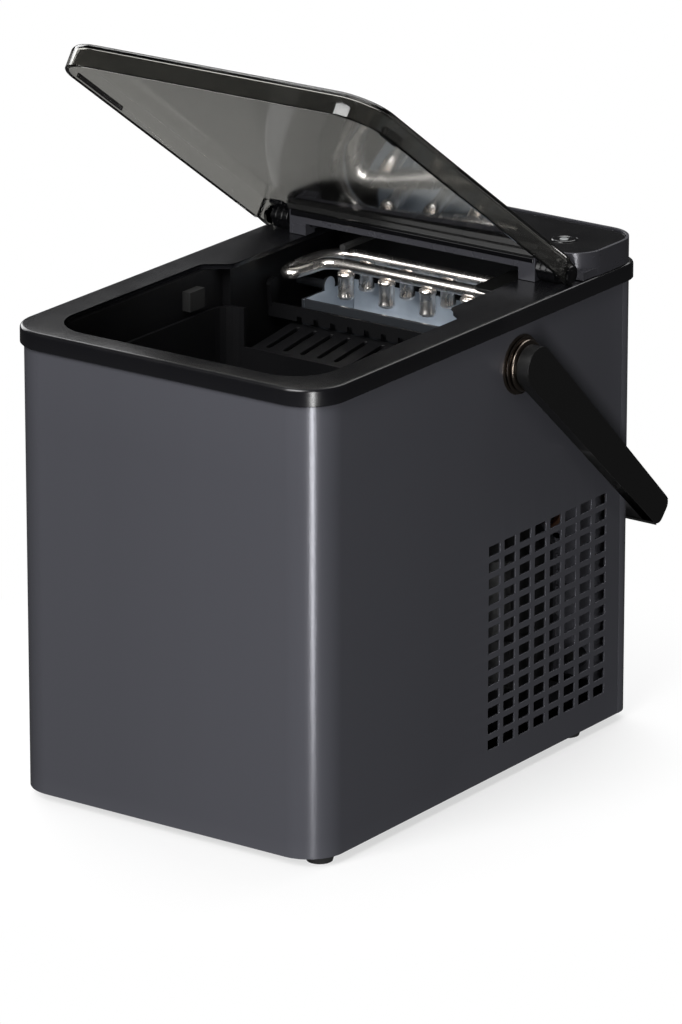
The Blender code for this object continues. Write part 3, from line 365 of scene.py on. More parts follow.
def finish(
    name,
    colour,
    roughness,
    metallic=0.0,
    variation=0.08,
    smear=0.08,
    grain=0.0,
    grain_scale=900.0,
    stretch=(1.0, 1.0, 1.0),
    wear=0.0,
    coat=0.0,
    transmission=0.0,
    ior=1.5,
    specular=0.5,
):
    """A procedural finish: colour variation, uneven roughness, a fine grain and lighter worn edges."""
    made = bpy.data.materials.new(name)
    made.use_nodes = True
    nodes, links = made.node_tree.nodes, made.node_tree.links
    shader = nodes["Principled BSDF"]
    shader.inputs["Metallic"].default_value = metallic
    shader.inputs["Coat Weight"].default_value = coat
    shader.inputs["Coat Roughness"].default_value = 0.12
    shader.inputs["Transmission Weight"].default_value = transmission
    shader.inputs["IOR"].default_value = ior
    shader.inputs["Specular IOR Level"].default_value = specular
    place = nodes.new("ShaderNodeTexCoord")
    mapping = nodes.new("ShaderNodeMapping")
    mapping.inputs["Scale"].default_value = stretch
    links.new(place.outputs["Object"], mapping.inputs["Vector"])

    cloud = nodes.new("ShaderNodeTexNoise")
    cloud.inputs["Scale"].default_value = 14.0
    cloud.inputs["Detail"].default_value = 5.0
    links.new(mapping.outputs["Vector"], cloud.inputs["Vector"])
    tint = nodes.new("ShaderNodeMix")
    tint.data_type = "RGBA"
    tint.inputs[6].default_value = (*[c * (1 - variation) for c in colour], 1)
    tint.inputs[7].default_value = (*[min(1, c * (1 + variation)) for c in colour], 1)
    links.new(cloud.outputs["Fac"], tint.inputs[0])
    colour_out = tint.outputs[2]

    if wear:
        edge = nodes.new("ShaderNodeNewGeometry")
        ramp = nodes.new("ShaderNodeMapRange")
        ramp.inputs["From Min"].default_value = 0.52
        ramp.inputs["From Max"].default_value = 0.62
        ramp.inputs["To Max"].default_value = wear
        links.new(edge.outputs["Pointiness"], ramp.inputs["Value"])
        worn = nodes.new("ShaderNodeMix")
        worn.data_type = "RGBA"
        worn.inputs[7].default_value = (*[min(1, c * 2.2 + 0.03) for c in colour], 1)
        links.new(ramp.outputs["Result"], worn.inputs[0])
        links.new(colour_out, worn.inputs[6])
        colour_out = worn.outputs[2]
    links.new(colour_out, shader.inputs["Base Color"])

    smudge = nodes.new("ShaderNodeTexNoise")
    smudge.inputs["Scale"].default_value = 38.0
    smudge.inputs["Detail"].default_value = 6.0
    smudge.inputs["Roughness"].default_value = 0.62
    links.new(mapping.outputs["Vector"], smudge.inputs["Vector"])
    rough = nodes.new("ShaderNodeMapRange")
    rough.inputs["To Min"].default_value = max(0.02, roughness - smear)
    rough.inputs["To Max"].default_value = min(1.0, roughness + smear)
    links.new(smudge.outputs["Fac"], rough.inputs["Value"])
    links.new(rough.outputs["Result"], shader.inputs["Roughness"])

    if grain:
        fine = nodes.new("ShaderNodeTexNoise")
        fine.inputs["Scale"].default_value = grain_scale
        fine.inputs["Detail"].default_value = 3.0
        links.new(mapping.outputs["Vector"], fine.inputs["Vector"])
        bump = nodes.new("ShaderNodeBump")
        bump.inputs["Strength"].default_value = grain
        bump.inputs["Distance"].default_value = 0.0002
        links.new(fine.outputs["Fac"], bump.inputs["Height"])
        links.new(bump.outputs["Normal"], shader.inputs["Normal"])
    return made


BRUSHED = (1.0, 1.0, 0.03)
M = {
    "painted_steel": finish(
        "painted_steel", (0.080, 0.081, 0.094), 0.24, 0.3, 0.07, 0.06, 0.14, 1400, BRUSHED, 0.35
    ),
    # Painted shade: the housing wears the body's paint, and this darker copy of it stands in for the shade of
    # the open lid above.
    "housing_paint_shaded": finish(
        "housing_paint_shaded", (0.052, 0.052, 0.060), 0.27, 0.3, grain=0.10, grain_scale=1400
    ),
    "rim_plastic": finish(
        "rim_plastic", (0.004, 0.004, 0.005), 0.24, grain=0.15, grain_scale=700, wear=0.15, specular=0.5
    ),
    "black_gloss": finish("black_gloss", (0.003, 0.003, 0.0035), 0.15, specular=0.35),
    "black_plastic": finish(
        "black_plastic", (0.007, 0.007, 0.007), 0.42, grain=0.2, grain_scale=1100, wear=0.2, specular=0.3
    ),
    "handle_plastic": finish(
        "handle_plastic",
        (0.007, 0.007, 0.007),
        0.36,
        grain=0.15,
        grain_scale=1500,
        wear=0.35,
        specular=0.35,
    ),
    "basket_plastic": finish("basket_plastic", (0.0035, 0.0035, 0.004), 0.42, grain=0.15, specular=0.25),
    "tank_plastic": finish("tank_plastic", (0.004, 0.004, 0.0045), 0.40, grain=0.12, specular=0.25),
    # Painted light and painted glints: the bright bluish tone and uneven grain inside the water tray stand in
    # for lit water and clear plastic.
    "tray_inside_painted_light": finish(
        "tray_inside_painted_light",
        (0.37, 0.42, 0.48),
        0.14,
        variation=0.30,
        grain=0.5,
        grain_scale=60,
        stretch=(4.0, 4.0, 4.0),
        coat=0.8,
    ),
    "smoked_plastic": finish(
        "smoked_plastic",
        (0.185, 0.183, 0.171),
        0.05,
        variation=0.02,
        smear=0.02,
        transmission=1.0,
        ior=1.49,
        specular=0.2,
    ),
    "lid_edge": finish("lid_edge", (0.012, 0.012, 0.012), 0.18, specular=0.4),
    "tray_plastic": finish("tray_plastic", (0.02, 0.022, 0.025), 0.25, grain=0.1, specular=0.4),
    "mark_plastic": finish("mark_plastic", (0.16, 0.17, 0.17), 0.35, grain=0.1),
    "bronze": finish("bronze", (0.15, 0.125, 0.105), 0.24, 1.0, 0.1, 0.06, wear=0.3),
    "chrome": finish("chrome", (0.90, 0.86, 0.82), 0.27, 1.0, 0.04, 0.06),
    "rubber": finish("rubber", (0.018, 0.018, 0.018), 0.82, grain=0.4),
    "foam": finish("foam", (0.02, 0.02, 0.02), 0.95, grain=0.8, grain_scale=500),
    "copper": finish("copper", (0.72, 0.36, 0.22), 0.28, 1.0, 0.14, 0.1),
    # Painted shade: the condenser's aluminium and the motors' steel are darkened to stand in for the shade
    # inside the cabinet, seen through the vents.
    "aluminium": finish("aluminium", (0.10, 0.10, 0.105), 0.40, 0.9, 0.06, 0.08, 0.1, 800, (1, 0.05, 1)),
    "motor_steel": finish("motor_steel", (0.12, 0.12, 0.125), 0.40, 0.9, 0.08, 0.08, 0.12),
    "black_steel": finish("black_steel", (0.012, 0.012, 0.013), 0.3, 0.2, 0.1, 0.08, 0.15, 300, coat=0.3),
    "circuit_board": finish("circuit_board", (0.02, 0.12, 0.05), 0.4, variation=0.2, coat=0.3),
    "white_plastic": finish("white_plastic", (0.78, 0.78, 0.74), 0.42, grain=0.1),
    "silicone": finish("silicone", (0.74, 0.74, 0.70), 0.4, variation=0.05, transmission=0.3),
    "screw_steel": finish("screw_steel", (0.10, 0.10, 0.105), 0.32, 0.9, wear=0.3),
}


# Cabinet shell


def offset_path(half, points):
    """The plan points moved outwards along the normals of the run by `half`."""
    moved = []
    for i, point in enumerate(points):
        before = points[max(i - 1, 0)]
        after = points[min(i + 1, len(points) - 1)]
        run = Vector((after[0] - before[0], after[1] - before[1])).normalized()
        moved.append((point[0] - run.y * half, point[1] + run.x * half))
    return moved


def sheet_shell(plan, levels, is_hole):
    """A bent sheet: the plan's points, going clockwise seen from above, and the levels in z make a grid, and
    the cells where is_hole is true stay open. The plan is the sheet's outer face."""
    inner_plan = offset_path(SHEET, plan)
    bm = bmesh.new()
    outer = [[bm.verts.new((x, y, z)) for z in levels] for x, y in plan]
    inner = [[bm.verts.new((x, y, z)) for z in levels] for x, y in inner_plan]
    columns, rows = len(plan) - 1, len(levels) - 1
    solid = [
        [not is_hole(plan[i], plan[i + 1], levels[k], levels[k + 1]) for k in range(rows)]
        for i in range(columns)
    ]

    def filled(i, k):
        return 0 <= i < columns and 0 <= k < rows and solid[i][k]

    for i in range(columns):
        for k in range(rows):
            if not solid[i][k]:
                continue
            corners = [(i, k), (i + 1, k), (i + 1, k + 1), (i, k + 1)]
            bm.faces.new([outer[a][b] for a, b in corners])
            bm.faces.new([inner[a][b] for a, b in reversed(corners)])
            beside = ((i, k - 1), (i + 1, k), (i, k + 1), (i - 1, k))
            for side, (a, b) in enumerate(beside):
                if filled(a, b):
                    continue
                p, q = corners[side], corners[(side + 1) % 4]
                bm.faces.new((outer[q[0]][q[1]], outer[p[0]][p[1]], inner[p[0]][p[1]], inner[q[0]][q[1]]))
    for row in (outer, inner):
        for column in row:
            for vert in column:
                if not vert.link_faces:
                    bm.verts.remove(vert)
    return bm


def vent_edges(axis, count):
    """Both edges of each vent along an axis."""
    edges = []
    for i in range(count):
        middle = VENT_FIRST[axis] + VENT_PITCH[axis] * i
        edges += [middle - VENT_SIZE[axis] / 2, middle + VENT_SIZE[axis] / 2]
    return edges


def wrap_shell():
    low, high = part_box("outer_wrap")
    vent_y = vent_edges(1, VENT_COLUMNS)
    vent_z = vent_edges(2, VENT_ROWS)
    centre = (high.x - BODY_RADIUS, low.y + BODY_RADIUS)
    side = [(high.x, y) for y in [high.y, *reversed(vent_y), SPLIT_Y]]
    right = side + arc(centre, BODY_RADIUS, 0, -90, 18)
    plan = mirrored(right)
    levels = [low.z, *vent_z, SPLIT_Z, high.z]

    def is_hole(a, b, bottom, top):
        if abs(a[0]) < high.x - 0.001 or abs(b[0]) < high.x - 0.001:
            return False
        y, z = (a[1] + b[1]) / 2, (bottom + top) / 2
        in_y = any(one < y < two for one, two in zip(vent_y[::2], vent_y[1::2]))
        in_z = any(one < z < two for one, two in zip(vent_z[::2], vent_z[1::2]))
        return in_y and in_z

    shell = sheet_shell(plan, levels, is_hole)
    piece(
        "wrap_shell",
        mesh_from(shell),
        M["painted_steel"],
        "cabinet",
        ["outer_wrap"],
        0.0003,
        2,
    )


def rear_shell():
    low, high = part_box("rear_panel")
    centre = (high.x - REAR_RADIUS, high.y - REAR_RADIUS)
    corner = arc(centre, REAR_RADIUS, 0, 90, 14)
    slot_x = (0.060, 0.008)
    right = [(high.x, low.y)] + corner + [(x, high.y) for x in slot_x]
    plan = mirrored(right)
    slots = [LOUVRE_FIRST + LOUVRE_PITCH * i for i in range(LOUVRE_COUNT)]
    levels = [low.z]
    for z in slots:
        levels += [z, z + LOUVRE_SLOT]
    levels += [SPLIT_Z, high.z]

    def is_hole(a, b, bottom, top):
        x = abs(a[0] + b[0]) / 2
        return slot_x[1] < x < slot_x[0] and any(abs(bottom - z) < 1e-6 for z in slots)

    plan.reverse()
    shell = sheet_shell(plan, levels, is_hole)
    inlet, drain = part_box("cord_inlet"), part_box("drain_spout")
    holes = []
    for (one, two), radius in ((inlet, 0.0062), (drain, 0.0072)):
        middle = (one + two) / 2
        place = along("Y", (middle.x, high.y - 0.01, middle.z))
        holes.append(rod(radius, 0, 0.02, place, 32))
    shell = cut(shell, many(holes))
    piece(
        "rear_shell",
        mesh_from(shell),
        M["painted_steel"],
        "cabinet",
        ["rear_panel"],
        0.0003,
        2,
    )


def louvre_hoods():
    """Pressed hoods over the rear slots, open at the bottom."""
    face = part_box("rear_panel")[1].y - 0.0002
    section = [(0, 0.0045), (0.0012, 0.0042), (0.0021, 0.0033), (0.0025, 0.0020), (0.0025, -0.0005)]
    section += [(0.0018, -0.0005), (0.0018, 0.0018), (0.0014, 0.0028), (0.0008, 0.0034), (0, 0.0037)]
    side = section[:5] + [(0, -0.0005)]
    hoods = []
    for number in range(LOUVRE_COUNT):
        z = LOUVRE_FIRST + LOUVRE_PITCH * number
        for sign in (-1, 1):
            start, end = sorted((sign * 0.0072, sign * 0.0608))
            walls = ((section, start, end), (side, start, start + 0.0008), (side, end - 0.0008, end))
            for outline, one, two in walls:
                hoods.append(prism([(face + y, z + up) for y, up in outline], one, two, "X"))
    piece(
        "louvre_hoods",
        mesh_from(many(hoods), 50),
        M["painted_steel"],
        "cabinet",
        bevel=0.0003,
    )


def rim_rings(outer, inner, low, top):
    """The rim's profile at each station: up its outer side, over the edge, across and down its mouth."""
    edge, lip = 0.0022, 0.0014
    plate = top - RIM_PLATE
    inwards = offset_path(-1.0, outer)
    out = [Vector((o[0] - i[0], o[1] - i[1])) for o, i in zip(outer, inwards)]
    mouth = offset_path(-1.0, inner)
    over = [Vector((m[0] - i[0], m[1] - i[1])) for m, i in zip(mouth, inner)]

    def ring(points, ways, shift, z):
        return [(p[0] + w.x * shift, p[1] + w.y * shift, z) for p, w in zip(points, ways)]

    rings = [ring(outer, out, -RIM_WALL, plate), ring(outer, out, -RIM_WALL, low + 0.0004)]
    rings += [
        ring(outer, out, -RIM_WALL + 0.0004, low),
        ring(outer, out, -0.0006, low),
        ring(outer, out, 0, low + 0.0006),
    ]
    for i in range(7):
        a = radians(90 * i / 6)
        rings.append(ring(outer, out, -edge * (1 - cos(a)), top - edge * (1 - sin(a))))
    for i in range(5):
        a = radians(90 * i / 4)
        rings.append(ring(inner, over, lip * (1 - sin(a)), top - lip * (1 - cos(a))))
    rings.append(ring(inner, over, 0, plate))
    return rings


def front_rim():
    low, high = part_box("front_bezel")
    front = low.y
    mouth = front + 0.014
    centre = (high.x - RIM_RADIUS, front + RIM_RADIUS)
    inner_centre = (OPENING_HALF - OPENING_RADIUS, mouth + OPENING_RADIUS)
    step = -0.0019
    steps = 18
    outer = [
        (high.x, high.y),
        (high.x, step + 0.0105),
        (high.x, step + 0.0080),
        (high.x, step - 0.0020),
        (high.x, step - 0.0045),
    ]
    outer += arc(centre, RIM_RADIUS, 0, -90, steps)
    inner = [(CHAMBER_HALF, high.y), (CHAMBER_HALF, step + 0.0105), (CHAMBER_HALF + 0.0015, step + 0.0070)]
    inner += [(OPENING_HALF - 0.0020, step - 0.0015), (OPENING_HALF, step - 0.0045)]
    inner += arc(inner_centre, OPENING_RADIUS, 0, -90, steps)
    rings = rim_rings(mirrored(outer), mirrored(inner), low.z, high.z)
    piece(
        "front_rim",
        mesh_from(skin(rings, closed=True)),
        M["rim_plastic"],
        "cabinet",
        ["front_bezel"],
    )


def rear_rim():
    low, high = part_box("rear_deck")
    rear = high.y
    centre = (high.x - RIM_REAR_RADIUS, rear - RIM_REAR_RADIUS)
    bend = 0.004
    mouth = rear - 0.034
    inner_centre = (CHAMBER_HALF - bend, mouth - bend)
    steps = 14
    outer = [(high.x, low.y)] + arc(centre, RIM_REAR_RADIUS, 0, 90, steps)
    inner = [(CHAMBER_HALF, low.y)] + arc(inner_centre, bend, 0, 90, steps)
    plan = [list(reversed(mirrored(line))) for line in (outer, inner)]
    rings = rim_rings(*plan, low.z, high.z)
    piece(
        "rear_rim",
        mesh_from(skin(rings, closed=True)),
        M["rim_plastic"],
        "cabinet",
        ["rear_deck"],
    )


# Lid


def lid_place():
    hinge = Vector(JOINTS["lid_hinge"]["pos_m"])
    return Matrix.Translation(hinge) @ Matrix.Rotation(-LID_OPEN, 4, "X")


def lid_outline(inset):
    centre = (LID_HALF - LID_RADIUS, -LID_LENGTH + LID_RADIUS)
    return mirrored([(LID_HALF - inset, -LID_REAR)] + arc(centre, LID_RADIUS - inset, 0, -90, 18))


def lid_shell():
    low, top, wall = LID_TOP - LID_SKIRT, LID_TOP, LID_WALL
    outer_edge, inner_edge = 0.0035, 0.0020

    def ring(inset, z):
        return [(x, y, z) for x, y in lid_outline(inset)]

    rings = []
    for i in range(6):
        a = radians(90 * i / 5)
        rings.append(ring(wall + inner_edge * (1 - sin(a)), top - wall - inner_edge * (1 - cos(a))))
    rings += [ring(wall, low + 0.0006), ring(wall - 0.0006, low), ring(0.0006, low), ring(0, low + 0.0006)]
    for i in range(7):
        a = radians(90 * i / 6)
        rings.append(ring(outer_edge * (1 - cos(a)), top - outer_edge * (1 - sin(a))))
    bm = skin(rings)
    bmesh.ops.recalc_face_normals(bm, faces=bm.faces)
    bm.transform(lid_place())
    piece("lid_shell", mesh_from(bm), M["smoked_plastic"], "lid", ["lid"])


def lid_fittings():
    """The moulded rib near the left edge, the catch on the right skirt, and a dark strip along the hinge side
    that is painted shade: it stands in for the darkening where the smoked lid is seen through several layers.
    """
    ceiling = LID_TOP - LID_WALL
    foot = LID_TOP - LID_SKIRT
    rib = prism(rounded((-0.1055, -0.222), (-0.1040, -0.172), 0.0007, 4), foot + 0.0008, foot + 0.0034)
    catch = many(
        [
            prism(rounded((0.1020, -0.222), (0.1062, -0.204), 0.0015, 4), foot + 0.0010, foot + 0.0060),
            prism(rounded((0.1000, -0.217), (0.1030, -0.209), 0.0008, 4), foot + 0.0020, foot + 0.0045),
        ]
    )
    # Painted shade: an opaque dark strip where the smoked lid only looks darker through its stacked layers.
    shade_strip = prism(
        rounded((-0.0866, -0.0135), (0.0866, -0.0098), 0.0012, 4), ceiling - 0.0034, ceiling - 0.0003
    )
    for name, shape in (("lid_rib", rib), ("lid_catch", catch), ("lid_shade_strip", shade_strip)):
        shape.transform(lid_place())
        piece(name, mesh_from(shape), M["lid_edge"], "lid", bevel=0.0004)


def knuckles():
    """The lid's ribbed hinge knuckles with their pins, and the smoked ears that run back beside them."""
    low_radius, top_radius = 0.0065, 0.0083
    drum = arc((0, 0), top_radius, 42, 205, 20) + arc((0, 0), low_radius, 222, 385, 20)
    core = [(y * 0.92, z * 0.92) for y, z in drum]
    web = [(0.002, 0.0052), (-0.016, 0.0052), (-0.016, 0.0028), (-0.006, 0.0010), (0.002, 0.0010)]
    ribs = ((0.0875, 0.0906), (0.0914, 0.0946), (0.0954, 0.0995))
    ear = arc((0, 0), low_radius, -75, 105, 18) + [(-0.0105, 0.0078), (-0.0105, -0.0058), (-0.004, -0.0062)]
    cap = [(0, 0.0009), (0.0026, 0.0009), (0.0032, 0.0003), (0.0038, 0.0003)]
    cap += [(0.0044, 0.0008), (0.0050, 0.0006), (0.0054, 0), (0.0054, -0.0034), (0, -0.0034)]
    for side, sign in (("left", -1), ("right", 1)):
        shapes = []
        for one, two in ribs:
            shapes.append(prism(drum, *sorted((sign * one, sign * two)), axis="X"))
        shapes.append(prism(core, *sorted((sign * 0.0880, sign * 0.0990)), axis="X"))
        shapes.append(prism(web, *sorted((sign * 0.0890, sign * 0.0980)), axis="X"))
        start = 0.080 if sign > 0 else -0.0885
        shapes.append(rod(0.002, 0, 0.0085, along("X", (start, 0, 0)), 24))
        shapes.append(turned([(r, sign * h) for r, h in cap], along("X", (sign * 0.1074, 0, 0)), 36))
        shape = many(shapes)
        shape.transform(lid_place())
        node = f"lid_knuckle_{side}"
        name = f"hinge_knuckle_{side}"
        piece(name, mesh_from(shape), M["black_gloss"], "lid", [node], 0.0006)
        plate = prism(ear, *sorted((sign * 0.1040, sign * 0.1072)), axis="X")
        plate.transform(lid_place())
        piece(
            f"lid_ear_{side}", mesh_from(plate), M["smoked_plastic"], "lid", bevel=0.0007
        )


# Carry handle


def handle_place():
    pivot = Vector(JOINTS["handle_pivot"]["pos_m"])
    return Matrix.Translation(pivot) @ Matrix.Rotation(-HANDLE_ANGLE, 4, "X")


def carry_handle():
    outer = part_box("carry_handle")[1].x
    inner = outer - 0.008
    root, half, bend = 0.0125, 0.009, 0.0056
    tilt = degrees(atan2(root - half, HANDLE_LENGTH))
    outline = arc((0, 0), root, 90 - tilt, 270 + tilt, 32)
    outline += arc((HANDLE_LENGTH - bend, -half + bend), bend, -90, 0, 6)
    outline += arc((HANDLE_LENGTH - bend, half - bend), bend, 0, 90, 6)
    arms = [prism(outline, *sorted((sign * inner, sign * outer)), axis="X") for sign in (-1, 1)]
    thick = 0.0075
    bar_outline = rounded((HANDLE_LENGTH - thick, -half), (HANDLE_LENGTH, half), bend, 6)
    bar = prism(bar_outline, -outer + 0.0005, outer - 0.0005, axis="X")
    shape = boolean(boolean(arms[0], bar, "UNION"), arms[1], "UNION")
    bores = [
        rod(0.0049, 0, 0.0066, along("X", (sign * 0.1163 - 0.0033, 0, 0)), 32)
        for sign in (-1, 1)
    ]
    shape = cut(shape, many(bores))
    shape.transform(handle_place())
    piece(
        "handle_bail",
        mesh_from(shape),
        M["handle_plastic"],
        "handle",
        ["carry_handle"],
        0.0013,
        4,
        50,
    )


def bosses():
    """Stacked rings on each side: bronze outside, black grooves between. Both profiles are (radius, distance
    from the machine's middle)."""
    grooves = ((0.0151, 0.1088), (0.0139, 0.11055))
    for side, sign in (("left", -1), ("right", 1)):
        low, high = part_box(f"handle_boss_{side}")
        middle = (low + high) / 2
        wall = 0.1063
        bronze = [
            (0.0, 0.1192),
            (0.0041, 0.1192),
            (0.0045, 0.1188),
            (0.0045, 0.1130),
            (0.0138, 0.1130),
            (0.0146, 0.1127),
            (0.0152, 0.1120),
            (0.0152, 0.1116),
            (0.0146, 0.1109),
            (0.0138, 0.1107),
            (0.0138, 0.1104),
            (0.0158, 0.1103),
            (0.0165, 0.1099),
            (0.0165, 0.1094),
            (0.0158, 0.1090),
            (0.0150, 0.1089),
            (0.0150, 0.1086),
            (0.0168, 0.1084),
            (0.0175, 0.1079),
            (0.0175, wall),
            (0.0055, wall),
            (0.0055, 0.0990),
            (0.0, 0.0990),
        ]
        shape = turned([(r, h * sign) for r, h in bronze], along("X", (0, middle.y, middle.z)), 64)
        piece(
            f"boss_{side}", mesh_from(shape, 50), M["bronze"], "cabinet", [f"handle_boss_{side}"]
        )
        for number, (radius, height) in enumerate(grooves):
            groove = [
                (radius - 0.002, height + 0.0004),
                (radius, height + 0.0004),
                (radius, height - 0.0004),
                (radius - 0.002, height - 0.0004),
            ]
            ring = turned([(r, h * sign) for r, h in groove], along("X", (0, middle.y, middle.z)), 64)
            piece(f"boss_ring_{side}_{number + 1}", mesh_from(ring), M["black_gloss"], "cabinet")


# Control housing


def housing_half(inset, front, pocket, corner_steps=16):
    half, radius = HOUSING_HALF, HOUSING_RADIUS
    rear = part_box("control_housing")[1].y
    back = arc((half - radius, rear - radius), radius - inset, 90, 0, corner_steps)
    bend = arc((half - radius, 0.1111), radius - inset, 0, -68, corner_steps)
    return back + bend + [(pocket - inset, 0.0923 + inset), (pocket - inset, front + inset)]


def control_housing():
    low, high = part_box("control_housing")
    pocket = HOUSING_POCKET
    top = high.z
    wall = 0.0018
    front = low.y
    shell = prism(mirrored(housing_half(0, front, pocket)), low.z, top)
    # A low plinth across the width fills the room in front of the rounded shoulders.
    side, plinth_front, plinth_rear, plinth_top = 0.1085, 0.0926, 0.1326, 0.2865
    corners = [(side, plinth_rear), (-side, plinth_rear), (-side, plinth_front), (side, plinth_front)]
    plinth = prism(corners, low.z + 0.0003, plinth_top)
    recess = prism(mirrored(housing_half(wall, front + 0.004, pocket)), top - 0.0028, top + 0.01)
    hollow = prism(mirrored(housing_half(wall + 0.001, 0.0821, 0.082)), low.z - 0.01, top - 0.0043)
    mouth = block((-0.075, 0.066, low.z - 0.01), (0.075, 0.096, 0.2888))
    hinge = Vector(JOINTS["lid_hinge"]["pos_m"])
    bores = [
        rod(0.0025, 0, 0.018, along("X", (sign * 0.0785 - 0.009, hinge.y, hinge.z)), 24)
        for sign in (-1, 1)
    ]
    button_low, button_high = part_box("power_button")
    middle_y = (button_low.y + button_high.y) / 2
    holes = [
        rod(0.0045, 0, 0.02, along("Z", (sign * BUTTON_X, middle_y, 0.285)), 24)
        for sign in (-1, 1)
    ]
    shape = cut(boolean(shell, plinth, "UNION"), recess, hollow, mouth, many(bores), many(holes))
    # Its darker paint is painted shade from the lid above.
    piece(
        "housing_shell",
        mesh_from(shape),
        M["housing_paint_shaded"],
        "cabinet",
        ["control_housing"],
        0.0004,
        3,
        40,
    )


def front_strip():
    """Black moulding along the upper edge of the housing's front, under the lid."""
    low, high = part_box("control_housing")
    strip = block((-0.0855, low.y - 0.0008, high.z - 0.0037), (0.0855, low.y + 0.0004, high.z - 0.0006))
    piece("front_strip", mesh_from(strip), M["black_gloss"], "cabinet", bevel=0.0005)


def control_top():
    low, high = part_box("control_panel")
    pocket = HOUSING_POCKET
    inset = 0.0021
    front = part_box("control_housing")[0].y + 0.004
    plate = prism(mirrored(housing_half(inset, front, pocket)), low.z, high.z)
    button_low, button_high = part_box("power_button")
    middle_y = (button_low.y + button_high.y) / 2
    holes = [
        rod(0.0079, -0.01, 0.01, along("Z", (sign * BUTTON_X, middle_y, low.z)), 40)
        for sign in (-1, 1)
    ]
    window = prism(
        rounded((-0.0453, middle_y - 0.0053), (0.0453, middle_y + 0.0053), 0.0012, 4),
        low.z - 0.01,
        high.z + 0.01,
    )
    shape = cut(plate, window, many(holes))
    piece(
        "panel_top", mesh_from(shape), M["black_gloss"], "cabinet", ["control_panel"], 0.0003
    )
    window_low, window_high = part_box("indicator_window")
    glass = prism(rounded(window_low.xy, window_high.xy, 0.001, 4), window_low.z, window_high.z)
    piece(
        "window_pane",
        mesh_from(glass),
        M["smoked_plastic"],
        "cabinet",
        ["indicator_window"],
        0.0002,
    )


def buttons():
    for node, body in (("power_button", "power_key"), ("select_button", "select_key")):
        low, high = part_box(node)
        middle = (low + high) / 2
        radius = (high.x - low.x) / 2
        dish = [(radius * 0.7 * i / 5, high.z - 0.0006 + 0.0004 * (i / 5) ** 2) for i in range(6)]
        profile = dish + [
            (radius - 0.0010, high.z),
            (radius - 0.0004, high.z - 0.0002),
            (radius, high.z - 0.0008),
            (radius, low.z + 0.0046),
            (0.0038, low.z + 0.0046),
            (0.0038, low.z),
            (0, low.z),
        ]
        shape = turned(profile, along("Z", (middle.x, middle.y, 0)), 48)
        piece(f"{node}_cap", mesh_from(shape, 50), M["black_gloss"], body, [node])
        dot = [(0, 0.0002), (0.0022, 0.0002), (0.0026, 0), (0.0026, -0.0004), (0, -0.0004)]
        mark = turned(dot, along("Z", (middle.x, middle.y, high.z - 0.0003)), 32)
        piece(f"{node}_mark", mesh_from(mark), M["mark_plastic"], body)
    for number in range(3):
        x = -0.024 + 0.024 * number
        low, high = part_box("indicator_window")
        dot = turned(
            [(0, 0.0004), (0.0012, 0.0004), (0.0014, 0.0002), (0.0014, 0), (0, 0)],
            along("Z", (x, (low.y + high.y) / 2, low.z - 0.0006)),
            24,
        )
        piece(
            f"indicator_light_{number + 1}", mesh_from(dot), M["white_plastic"], "cabinet"
        )


# Ice chamber


def evaporator():
    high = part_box("evaporator_tube")[1]
    radius = 0.0035
    z = high.z - radius
    front_y, rear_y = 0.0741, 0.0951
    end_x = high.x - 0.0002
    loop = smooth_route(
        [
            (-0.052, front_y, z),
            (-0.059, front_y - 0.004, z - 0.0005),
            (-0.063, 0.0601, z - 0.002),
            (-0.067, 0.0511, z - 0.003),
            (-0.0725, 0.0531, z - 0.003),
            (-0.0725, 0.0641, z - 0.002),
            (-0.069, 0.0801, z - 0.0005),
            (-0.061, 0.0921, z),
            (-0.050, rear_y, z),
        ],
        8,
    )
    route = [(end_x, front_y, z), (0.0, front_y, z)] + loop + [(0.0, rear_y, z), (end_x, rear_y, z)]
    piece(
        "evaporator_loop",
        mesh_from(pipe(route, radius, 28), 60),
        M["chrome"],
        "cabinet",
        ["evaporator_tube"],
    )
    for number in range(1, 9):
        one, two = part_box(f"evaporator_finger_{number}")
        middle = (one + two) / 2
        r = (two.x - one.x) / 2
        top, bottom = two.z, one.z
        profile = [
            (0, top),
            (r - 0.0012, top),
            (r - 0.0002, top - 0.0006),
            (r, top - 0.0016),
            (r, top - 0.0026),
            (r - 0.0006, top - 0.0034),
            (r - 0.0006, bottom + 0.0030),
            (r - 0.0002, bottom + 0.0022),
            (r - 0.0004, bottom + 0.0012),
            (r - 0.0014, bottom + 0.0003),
            (r - 0.0026, bottom),
            (0, bottom),
        ]
        shape = turned(profile, along("Z", (middle.x, middle.y, 0)), 36)
        piece(
            f"freezing_finger_{number}",
            mesh_from(shape, 50),
            M["chrome"],
            "cabinet",
            [f"evaporator_finger_{number}"],
        )


def tube_cover():
    low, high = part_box("evaporator_bracket")
    plate = prism(rounded(low.xy, high.xy, 0.007, 10), low.z, high.z)
    piece(
        "tube_cover",
        mesh_from(plate),
        M["black_plastic"],
        "cabinet",
        ["evaporator_bracket"],
        0.0006,
    )


